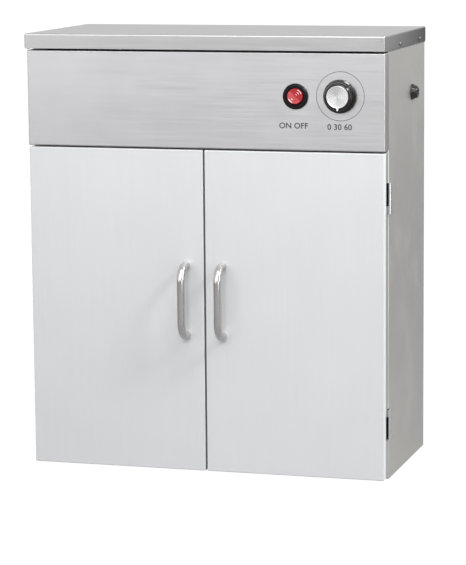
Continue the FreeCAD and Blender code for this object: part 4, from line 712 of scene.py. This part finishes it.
def knob_parts():
    """The knob's body with grip flutes, and its spun cap."""
    s = sizes()
    axis = Vector((0, -1, 0))
    bm = bmesh.new()
    profile = rounded_profile(
        [(3.2 * MM, 0.0), (3.2 * MM, 17.5 * MM), (1.2 * MM, 17.5 * MM), (1.2 * MM, 22.3 * MM),
         (4.2 * MM, 22.3 * MM), (5.0 * MM, 19.4 * MM), (6.4 * MM, 19.3 * MM),
         (8.2 * MM, 19.2 * MM)],
        [0, 0, 0, 0.3 * MM, 0.5 * MM, 0.5 * MM, 0, 0])
    rise, reach = 6.4 * MM, 19.1 * MM - s.cap_radius
    for step in range(13):
        turn = math.pi / 2 * step / 12
        profile.append((10.2 * MM + rise * math.sin(turn), s.cap_radius + reach * math.cos(turn)))
    profile += [(15.4 * MM, s.cap_radius), (15.4 * MM, 0.0)]
    turn_profile(bm, profile, KNOB_PLACE, axis, 180)
    for vert in bm.verts:
        out = Vector((vert.co.x - KNOB_PLACE.x, 0, vert.co.z - KNOB_PLACE.z))
        if FLUTES_FROM < KNOB_PLACE.y - vert.co.y < FLUTES_TO:
            wave = math.cos(KNOB_FLUTES * math.atan2(out.z, out.x))
            vert.co += out.normalized() * (wave * s.flute_depth - s.flute_depth)
    made = piece("knob_shell", bm, "gloss", "knob", 40)
    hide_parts("timer_knob")
    bm = bmesh.new()
    cap = rounded_profile(
        [(15.9 * MM, 0.0), (15.9 * MM, s.cap_radius - 0.05 * MM),
         (17.0 * MM, s.cap_radius - 0.05 * MM), (17.0 * MM, s.cap_radius - 0.8 * MM),
         (16.75 * MM, s.cap_radius - 1.3 * MM), (16.75 * MM, 0.0)],
        [0, 0, 0.3 * MM, 0.15 * MM, 0.15 * MM, 0], 3)
    turn_profile(bm, cap, KNOB_PLACE, axis, 144)
    made = piece("knob_cap_disc", bm, "cap", "knob", 40)
    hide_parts("knob_cap")


def knob_pointer():
    """White pointer that tapers from the cap's edge out over the knob's shoulder."""
    s = sizes()
    front = KNOB_PLACE.y - 17.1 * MM
    bm = bmesh.new()
    corners = [Vector((across * MM, front, -radius)) for across, radius in (
        (-1.8, s.cap_radius - 0.6 * MM), (1.8, s.cap_radius - 0.6 * MM),
        (0.4, s.cap_radius + 3.4 * MM), (-0.4, s.cap_radius + 3.4 * MM))]
    shift = Vector((KNOB_PLACE.x, 0, KNOB_PLACE.z))
    face = bm.faces.new([bm.verts.new(corner + shift) for corner in corners])
    made = bmesh.ops.extrude_face_region(bm, geom=[face])["geom"]
    moved = moved_verts(made)
    bmesh.ops.translate(bm, verts=moved, vec=Vector((0, 6.0 * MM, 0)))
    bmesh.ops.recalc_face_normals(bm, faces=bm.faces)
    bmesh.ops.bevel(bm, geom=list(bm.edges), offset=0.15 * MM, offset_type="OFFSET",
                    affect="EDGES", segments=2, profile=0.5, material=-1)
    piece("knob_pointer", bm, "white_ink", "knob")


def rocker_lie():
    """Turn and tilt of the rocker at rest: its ends lie on a diagonal of the face."""
    tilt = Matrix.Rotation(ROCKER_TILT, 4, Vector((1, 0, -1)))
    turn = Matrix.Rotation(ROCKER_TURN, 4, "Y")
    return Matrix.Translation(SWITCH_PLACE + Vector((0, -1.5 * MM, 0))) @ tilt @ turn


def dish_depth(across):
    """How far the rocker's dished face rises at a distance from its middle line."""
    return (math.hypot(across, DISH_SOFTNESS) - DISH_SOFTNESS) * math.tan(DISH_ANGLE)


def rocker_button():
    """Round red rocker with a soft rim and a dished face."""
    rise, rim, wide = ROCKER_RISE, 10.1 * MM, 10.6 * MM
    bm = bmesh.new()
    rings = [(rise, rim * part / 14) for part in range(13)]
    profile = rings + rounded_profile(
        [(rise, rim * 0.9), (rise, rim), (1.2 * MM, wide), (-6.0 * MM, 8.8 * MM), (-6.0 * MM, 0.0)],
        [0, 0.9 * MM, 2.0 * MM, 0.4 * MM, 0], 6)
    turn_profile(bm, profile, Vector((0, 0, 0)), Vector((0, -1, 0)), 96)
    for vert in bm.verts:
        if vert.co.y < -2.0 * MM:
            share = min(1.0, (-vert.co.y - 2.0 * MM) / (2.0 * MM))
            vert.co.y -= dish_depth(vert.co.z) * share
    bmesh.ops.transform(bm, matrix=rocker_lie(), verts=bm.verts)
    made = piece("rocker_button", bm, "red", "rocker", 50)
    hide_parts("switch_rocker")


def rocker_rib(bm, middle, length, width, bent):
    """One low rib across the rocker's diagonal: a short bar, or an arc near the rim."""
    start = Vector((0, 0, middle))
    verts = [bm.verts.new(start + Vector((0, 0, side * width / 2))) for side in (-1, 1)]
    edge = bm.edges.new(verts)
    half = length / 2
    if bent:
        angle = length / abs(middle)
        place = Matrix.Rotation(-angle / 2, 3, "Y")
        bmesh.ops.rotate(bm, verts=verts, cent=(0, 0, 0), matrix=place)
        bmesh.ops.spin(bm, geom=verts + [edge], cent=(0, 0, 0), axis=(0, 1, 0),
                       angle=angle, steps=8, use_duplicate=False)
    else:
        bmesh.ops.translate(bm, verts=verts, vec=(-half, 0, 0))
        moved = bmesh.ops.extrude_edge_only(bm, edges=[edge])["geom"]
        ends = moved_verts(moved)
        bmesh.ops.translate(bm, verts=ends, vec=(length, 0, 0))


def rocker_highlight_ribs():
    """Pale ribs at the rocker's two ends, raised a little from its dished face; their pale colour
    is a painted highlight.
    """
    bm = bmesh.new()
    for middle, length, width, bent in (
            (8.9, 7.4, 0.8, True), (5.7, 3.4, 0.9, False), (2.6, 2.2, 0.7, False),
            (-5.4, 2.4, 0.8, False), (-8.9, 6.6, 0.8, True)):
        rocker_rib(bm, middle * MM, length * MM, width * MM, bent)
    faces = list(bm.faces)
    made = bmesh.ops.extrude_face_region(bm, geom=faces)["geom"]
    raised = set(moved_verts(made))
    for vert in bm.verts:
        top = RIB_HEIGHT if vert in raised else -RIB_ROOT
        vert.co.y = -ROCKER_RISE - dish_depth(vert.co.z) - top
    bmesh.ops.transform(bm, matrix=rocker_lie(), verts=bm.verts)
    piece("rocker_ribs", bm, "rib", "rocker")


def switch_bezel():
    """The switch's round body: its bezel, the bore for the rocker and the barrel behind."""
    bm = bmesh.new()
    profile = rounded_profile(
        [(-24.0 * MM, 0.0), (-24.0 * MM, 13.5 * MM), (0.0, 13.5 * MM), (0.0, 17.2 * MM),
         (2.4 * MM, 17.2 * MM), (4.0 * MM, 15.4 * MM), (4.0 * MM, 12.2 * MM),
         (3.3 * MM, 11.0 * MM), (-20.0 * MM, 11.0 * MM), (-20.0 * MM, 0.0)],
        [0, 0.5 * MM, 0, 0, 0.8 * MM, 1.2 * MM, 0.5 * MM, 0.3 * MM, 0, 0])
    turn_profile(bm, profile, SWITCH_PLACE, Vector((0, -1, 0)), 96)
    made = piece("switch_bezel_ring", bm, "bezel", "root", 40)
    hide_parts("switch_body")


def dial_prints():
    """Thin ring round the knob, and plain captions."""
    s = sizes()
    bm = bmesh.new()
    flat_ring(bm, KNOB_PLACE, s.ring_radius - s.ring_width / 2,
              s.ring_radius + s.ring_width / 2, PRINT_Y)
    print_piece("dial_ring", bm, "ink", "root")
    printed_words("switch_caption", "ON OFF", s.print_height,
                  SWITCH_CAPTION_PLACE, PRINT_Y, "ink", "root")
    printed_words("timer_caption", "0 30 60", s.print_height,
                  TIMER_CAPTION_PLACE, PRINT_Y, "ink", "root")


def screw_heads(name, seats, finish, body, node):
    """Pan-headed screws with cross recesses; each seat is its place and outward direction."""
    s = sizes()
    bm = bmesh.new()
    for seat, direction in seats:
        head = bmesh.new()
        top = s.screw_head * 0.62
        profile = rounded_profile(
            [(-5.0 * MM, 0.0), (-5.0 * MM, 1.6 * MM), (0.0, 1.6 * MM), (0.0, s.screw_head),
             (0.9 * MM, s.screw_head), (SCREW_TOP, top)], [0, 0, 0, 0, 0.5 * MM, 0], 4)
        turn_profile(head, profile, Vector((0, 0, 0)), Vector((0, 0, 1)), 32)
        rim = [edge for edge in head.edges
               if edge.is_boundary and edge.verts[0].co.z > SCREW_TOP / 2]
        bmesh.ops.edgeloop_fill(head, edges=rim)
        for across in (Vector((1, 0, 0)), Vector((0, 1, 0))):
            for at in (-RECESS_ARM, -RECESS_HALF_WIDTH, RECESS_HALF_WIDTH, RECESS_ARM):
                flat = [face for face in head.faces
                        if all(vert.co.z > SCREW_TOP - 0.01 * MM for vert in face.verts)]
                parts = {item for face in flat for item in (face, *face.edges, *face.verts)}
                bmesh.ops.bisect_plane(head, geom=list(parts), plane_co=across * at,
                                       plane_no=across)
        cross = []
        for face in head.faces:
            middle = face.calc_center_median()
            if middle.z < SCREW_TOP - 0.01 * MM:
                continue
            a, b = sorted((abs(middle.x), abs(middle.y)))
            if a < RECESS_HALF_WIDTH and b < RECESS_ARM:
                cross.append(face)
        made = bmesh.ops.extrude_face_region(head, geom=cross)["geom"]
        bmesh.ops.delete(head, geom=cross, context="FACES_ONLY")
        low = moved_verts(made)
        bmesh.ops.scale(head, verts=low, vec=(0.72, 0.72, 1.0))
        bmesh.ops.translate(head, verts=low, vec=(0, 0, -RECESS_DEPTH))
        bmesh.ops.recalc_face_normals(head, faces=head.faces)
        turn = Vector((0, 0, 1)).rotation_difference(direction).to_matrix().to_4x4()
        bmesh.ops.transform(head, matrix=Matrix.Translation(seat) @ turn, verts=head.verts)
        copy = bpy.data.meshes.new("head")
        head.to_mesh(copy)
        head.free()
        bm.from_mesh(copy)
        bpy.data.meshes.remove(copy)
    made = piece(name, bm, finish, body, 40)
    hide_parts(node)


def gland_nut():
    """The cable gland's thread, flange and domed nut, open for the cable."""
    bm = bmesh.new()
    profile = rounded_profile(
        [(-9.8 * MM, 3.6 * MM), (-9.8 * MM, 7.6 * MM), (0.0, 7.6 * MM), (0.0, 10.8 * MM),
         (3.0 * MM, 10.8 * MM), (3.0 * MM, 9.4 * MM), (8.6 * MM, 8.2 * MM), (8.6 * MM, 3.9 * MM),
         (7.6 * MM, 3.6 * MM), (-9.8 * MM, 3.6 * MM)],
        [0, 0, 0, 0, 0.7 * MM, 0.15 * MM, 2.2 * MM, 0.4 * MM, 0.2 * MM, 0])
    turn_profile(bm, profile, GLAND_PLACE, Vector((1, 0, 0)), 96)
    made = piece("gland_dome", bm, "gland", "root", 40)
    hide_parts("cable_gland")


def cover_shadow_strips():
    """Dark strip under the cover's skirt along each side of the cabinet: a painted shadow line."""
    bm = bmesh.new()
    for side in (1, -1):
        made = bmesh.ops.create_cube(bm, size=1.0)["verts"]
        bmesh.ops.scale(bm, verts=made, vec=SHADOW_STRIP_SIZE)
        bmesh.ops.translate(bm, verts=made, vec=(side * SHADOW_STRIP_X, 0.0, SHADOW_STRIP_Z))
    bmesh.ops.bevel(bm, geom=list(bm.edges), offset=0.2 * MM, offset_type="OFFSET",
                    affect="EDGES", segments=2, profile=0.5, material=-1)
    # Painted shadow: dark strips in the seal rubber's colour
    piece("cover_shadow_strips", bm, "rubber", "root")


# Stage


def aim(place, target):
    """Rotation that points a light at a target."""
    return (target - place).to_track_quat("-Z", "Y").to_euler()


def area_light(name, place, target, width, height, power):
    """Soft box light."""
    data = bpy.data.lights.new(name, "AREA")
    data.shape = "RECTANGLE"
    data.size = width
    data.size_y = height
    data.energy = power
    lamp = bpy.data.objects.new(name, data)
    lamp.location = place
    lamp.rotation_euler = aim(place, target)
    bpy.context.scene.collection.objects.link(lamp)
    return lamp


def stage_material(name, colour, seen):
    """Surface that is mostly white to the camera, grey in metals, and shows shadows."""
    material = bpy.data.materials.new(name)
    material.use_nodes = True
    nodes, links = material.node_tree.nodes, material.node_tree.links
    diffuse = nodes["Principled BSDF"]
    diffuse.inputs["Base Color"].default_value = colour
    diffuse.inputs["Roughness"].default_value = 0.9
    glow = nodes.new("ShaderNodeEmission")
    glow.inputs["Color"].default_value = (1.0, 1.0, 1.0, 1.0)
    glow.inputs["Strength"].default_value = seen
    path = nodes.new("ShaderNodeLightPath")
    mix = nodes.new("ShaderNodeMixShader")
    share = None
    for ray, part in FLOOR_SHARES:
        add = maths(nodes, "MULTIPLY_ADD")
        add.inputs[1].default_value = part
        add.inputs[2].default_value = 0.0
        links.new(path.outputs[ray], add.inputs[0])
        if share:
            links.new(share, add.inputs[2])
        share = add.outputs["Value"]
    links.new(share, mix.inputs["Fac"])
    links.new(diffuse.outputs["BSDF"], mix.inputs[1])
    links.new(glow.outputs["Emission"], mix.inputs[2])
    links.new(mix.outputs["Shader"], nodes["Material Output"].inputs["Surface"])
    return material


def build_world():
    """Even pale surroundings, white where the camera looks past the cabinet."""
    world = bpy.data.worlds.new("Studio")
    bpy.context.scene.world = world
    world.use_nodes = True
    nodes, links = world.node_tree.nodes, world.node_tree.links
    background = nodes["Background"]
    background.inputs["Color"].default_value = (0.92, 0.94, 0.96, 1.0)
    background.inputs["Strength"].default_value = 0.38
    white = nodes.new("ShaderNodeBackground")
    white.inputs["Color"].default_value = (1.0, 1.0, 1.0, 1.0)
    white.inputs["Strength"].default_value = 1.0
    path = nodes.new("ShaderNodeLightPath")
    seen = maths(nodes, "MAXIMUM")
    through = maths(nodes, "MAXIMUM")
    links.new(path.outputs["Is Camera Ray"], through.inputs[0])
    links.new(path.outputs["Is Transmission Ray"], through.inputs[1])
    links.new(path.outputs["Is Glossy Ray"], seen.inputs[0])
    links.new(through.outputs["Value"], seen.inputs[1])
    mix = nodes.new("ShaderNodeMixShader")
    links.new(seen.outputs["Value"], mix.inputs["Fac"])
    links.new(background.outputs["Background"], mix.inputs[1])
    links.new(white.outputs["Background"], mix.inputs[2])
    links.new(mix.outputs["Shader"], nodes["World Output"].inputs["Surface"])


def build_floor():
    """Wide pale floor."""
    bm = bmesh.new()
    bmesh.ops.create_grid(bm, x_segments=8, y_segments=8, size=FLOOR_SIZE)
    mesh = bpy.data.meshes.new("studio_floor")
    bm.to_mesh(mesh)
    bm.free()
    floor = bpy.data.objects.new("studio_floor", mesh)
    bpy.context.scene.collection.objects.link(floor)
    mesh.materials.append(stage_material("Studio Floor", (0.28, 0.28, 0.28, 1.0), 1.15))


def build_camera():
    """Camera where the photograph was taken from."""
    data = bpy.data.cameras.new("camera")
    camera = bpy.data.objects.new("camera", data)
    bpy.context.scene.collection.objects.link(camera)
    yaw, pitch, roll = CAMERA_YAW, CAMERA_PITCH, CAMERA_ROLL
    forward = Vector((-math.sin(yaw) * math.cos(pitch), math.cos(yaw) * math.cos(pitch),
                      -math.sin(pitch)))
    level = Vector((math.cos(yaw), math.sin(yaw), 0.0))
    rise = level.cross(forward)
    right = level * math.cos(roll) + rise * math.sin(roll)
    up = rise * math.cos(roll) - level * math.sin(roll)
    turn = Matrix((right, up, -forward)).transposed().to_4x4()
    camera.matrix_world = Matrix.Translation(CAMERA_PLACE) @ turn
    data.sensor_width = SENSOR_WIDTH
    data.lens = FOCAL_PIXELS / PICTURE_PIXELS * SENSOR_WIDTH
    data.clip_start = 0.05
    data.clip_end = 60.0
    bpy.context.scene.camera = camera


def build_lights():
    """A key light in front, soft boxes round it, and a low box and a strip at the right."""
    middle = Vector((0.0, 0.0, 0.3))
    area_light("key_softbox", Vector((0.35, -3.9, 2.2)), middle, 0.9, 0.9, 52.0)
    area_light("left_softbox", Vector((-2.3, -3.0, 0.9)), middle, 1.8, 1.8, 9.0)
    area_light("front_softbox", Vector((-0.3, -2.8, 1.7)), middle, 3.6, 2.0, 34.0)
    area_light("overhead_softbox", Vector((0.3, -1.5, 2.5)), middle, 2.0, 1.5, 22.0)
    area_light("right_softbox", Vector((1.96, -0.75, 2.18)), KNOB_PLACE, 0.55, 0.55, 54.0)
    area_light("right_low_softbox", Vector((1.9, -1.5, 0.10)), Vector((0.0, -0.15, 0.24)),
               1.1, 0.5, 4.0)
    area_light("right_strip", Vector((1.3, -0.3, 0.9)), Vector((0.0, -0.15, 0.9)), 0.22, 1.2, 4.0)


# Operators


class CABINET_OT_finishes(Operator):
    """Give every carried-over piece its finish."""

    bl_idname = "cabinet.finishes"
    bl_label = "Apply Finishes"

    def execute(self, context):
        make_finishes()
        named = set()
        for finish, names in NODE_FINISHES.items():
            for name in names:
                mesh = NODES[name].data
                mesh.materials.clear()
                mesh.materials.append(FINISHES[finish])
                named.add(name)
        left = sorted(set(NODES) - named - {"right_door_handle", "left_door_handle"})
        if left:
            raise RuntimeError("pieces without a finish: " + ", ".join(left))
        return {"FINISHED"}


class CABINET_OT_handles(Operator):
    """Make the two bow handles."""

    bl_idname = "cabinet.handles"
    bl_label = "Make Handles"

    def execute(self, context):
        for side in (1, -1):
            bow_handle(side)
        return {"FINISHED"}


class CABINET_OT_controls(Operator):
    """Make the switch's and the timer's visible parts."""

    bl_idname = "cabinet.controls"
    bl_label = "Make Controls"

    def execute(self, context):
        switch_bezel()
        rocker_button()
        rocker_highlight_ribs()
        knob_parts()
        knob_pointer()
        return {"FINISHED"}


class CABINET_OT_prints(Operator):
    """Print the ring and the captions on the fascia."""

    bl_idname = "cabinet.prints"
    bl_label = "Make Prints"

    def execute(self, context):
        dial_prints()
        return {"FINISHED"}


class CABINET_OT_fittings(Operator):
    """Make the screw heads and the cable gland's nut."""

    bl_idname = "cabinet.fittings"
    bl_label = "Make Fittings"

    def execute(self, context):
        cover = [(Vector((side * COVER_SIDE_X, y, COVER_SCREW_Z)) * MM, Vector((side, 0, 0)))
                 for side in (1, -1) for y in COVER_SCREW_YS]
        screw_heads("cover_screw_heads", cover, "dull_screw", "root", "cover_screws")
        pitch = (BACK_SCREW_HIGH - BACK_SCREW_LOW) / (BACK_SCREW_ROWS - 1)
        back = [(Vector((side * BACK_SCREW_X, BACK_SCREW_Y, BACK_SCREW_LOW + row * pitch)) * MM,
                 Vector((0, 1, 0))) for side in (1, -1) for row in range(BACK_SCREW_ROWS)]
        screw_heads("back_screw_heads", back, "screw", "root", "back_panel_screws")
        gland_nut()
        cover_shadow_strips()
        return {"FINISHED"}


class CABINET_OT_stage(Operator):
    """Set up the floor, the surroundings, the lights and the camera."""

    bl_idname = "cabinet.stage"
    bl_label = "Make Stage"

    def execute(self, context):
        build_world()
        build_floor()
        build_camera()
        build_lights()
        context.scene.view_settings.view_transform = "Standard"
        return {"FINISHED"}


class CABINET_PT_panel(Panel):
    """Panel that lists the cabinet's steps."""

    bl_idname = "CABINET_PT_panel"
    bl_label = "Cabinet"
    bl_space_type = "VIEW_3D"
    bl_region_type = "UI"
    bl_category = "Cabinet"

    def draw(self, context):
        for group in (context.scene.cabinet_sizes, context.scene.cabinet_colours):
            column = self.layout.column()
            for key in group.__annotations__:
                column.prop(group, key)
        for operator in OPERATORS:
            self.layout.operator(operator.bl_idname)


OPERATORS = (
    CABINET_OT_stage,
    CABINET_OT_finishes,
    CABINET_OT_handles,
    CABINET_OT_controls,
    CABINET_OT_prints,
    CABINET_OT_fittings,
)
CLASSES = (CabinetSizes, CabinetColours) + OPERATORS + (CABINET_PT_panel,)


def register():
    """Register the settings, the operators and the panel."""
    for item in CLASSES:
        bpy.utils.register_class(item)
    bpy.types.Scene.cabinet_sizes = PointerProperty(type=CabinetSizes)
    bpy.types.Scene.cabinet_colours = PointerProperty(type=CabinetColours)


def unregister():
    """Take them away again."""
    del bpy.types.Scene.cabinet_colours
    del bpy.types.Scene.cabinet_sizes
    for item in reversed(CLASSES):
        bpy.utils.unregister_class(item)


def main():
    """Build everything in order."""
    register()
    bpy.ops.cabinet.stage()
    bpy.ops.cabinet.finishes()
    bpy.ops.cabinet.handles()
    bpy.ops.cabinet.controls()
    bpy.ops.cabinet.prints()
    bpy.ops.cabinet.fittings()


if __name__ == "__main__":
    main()
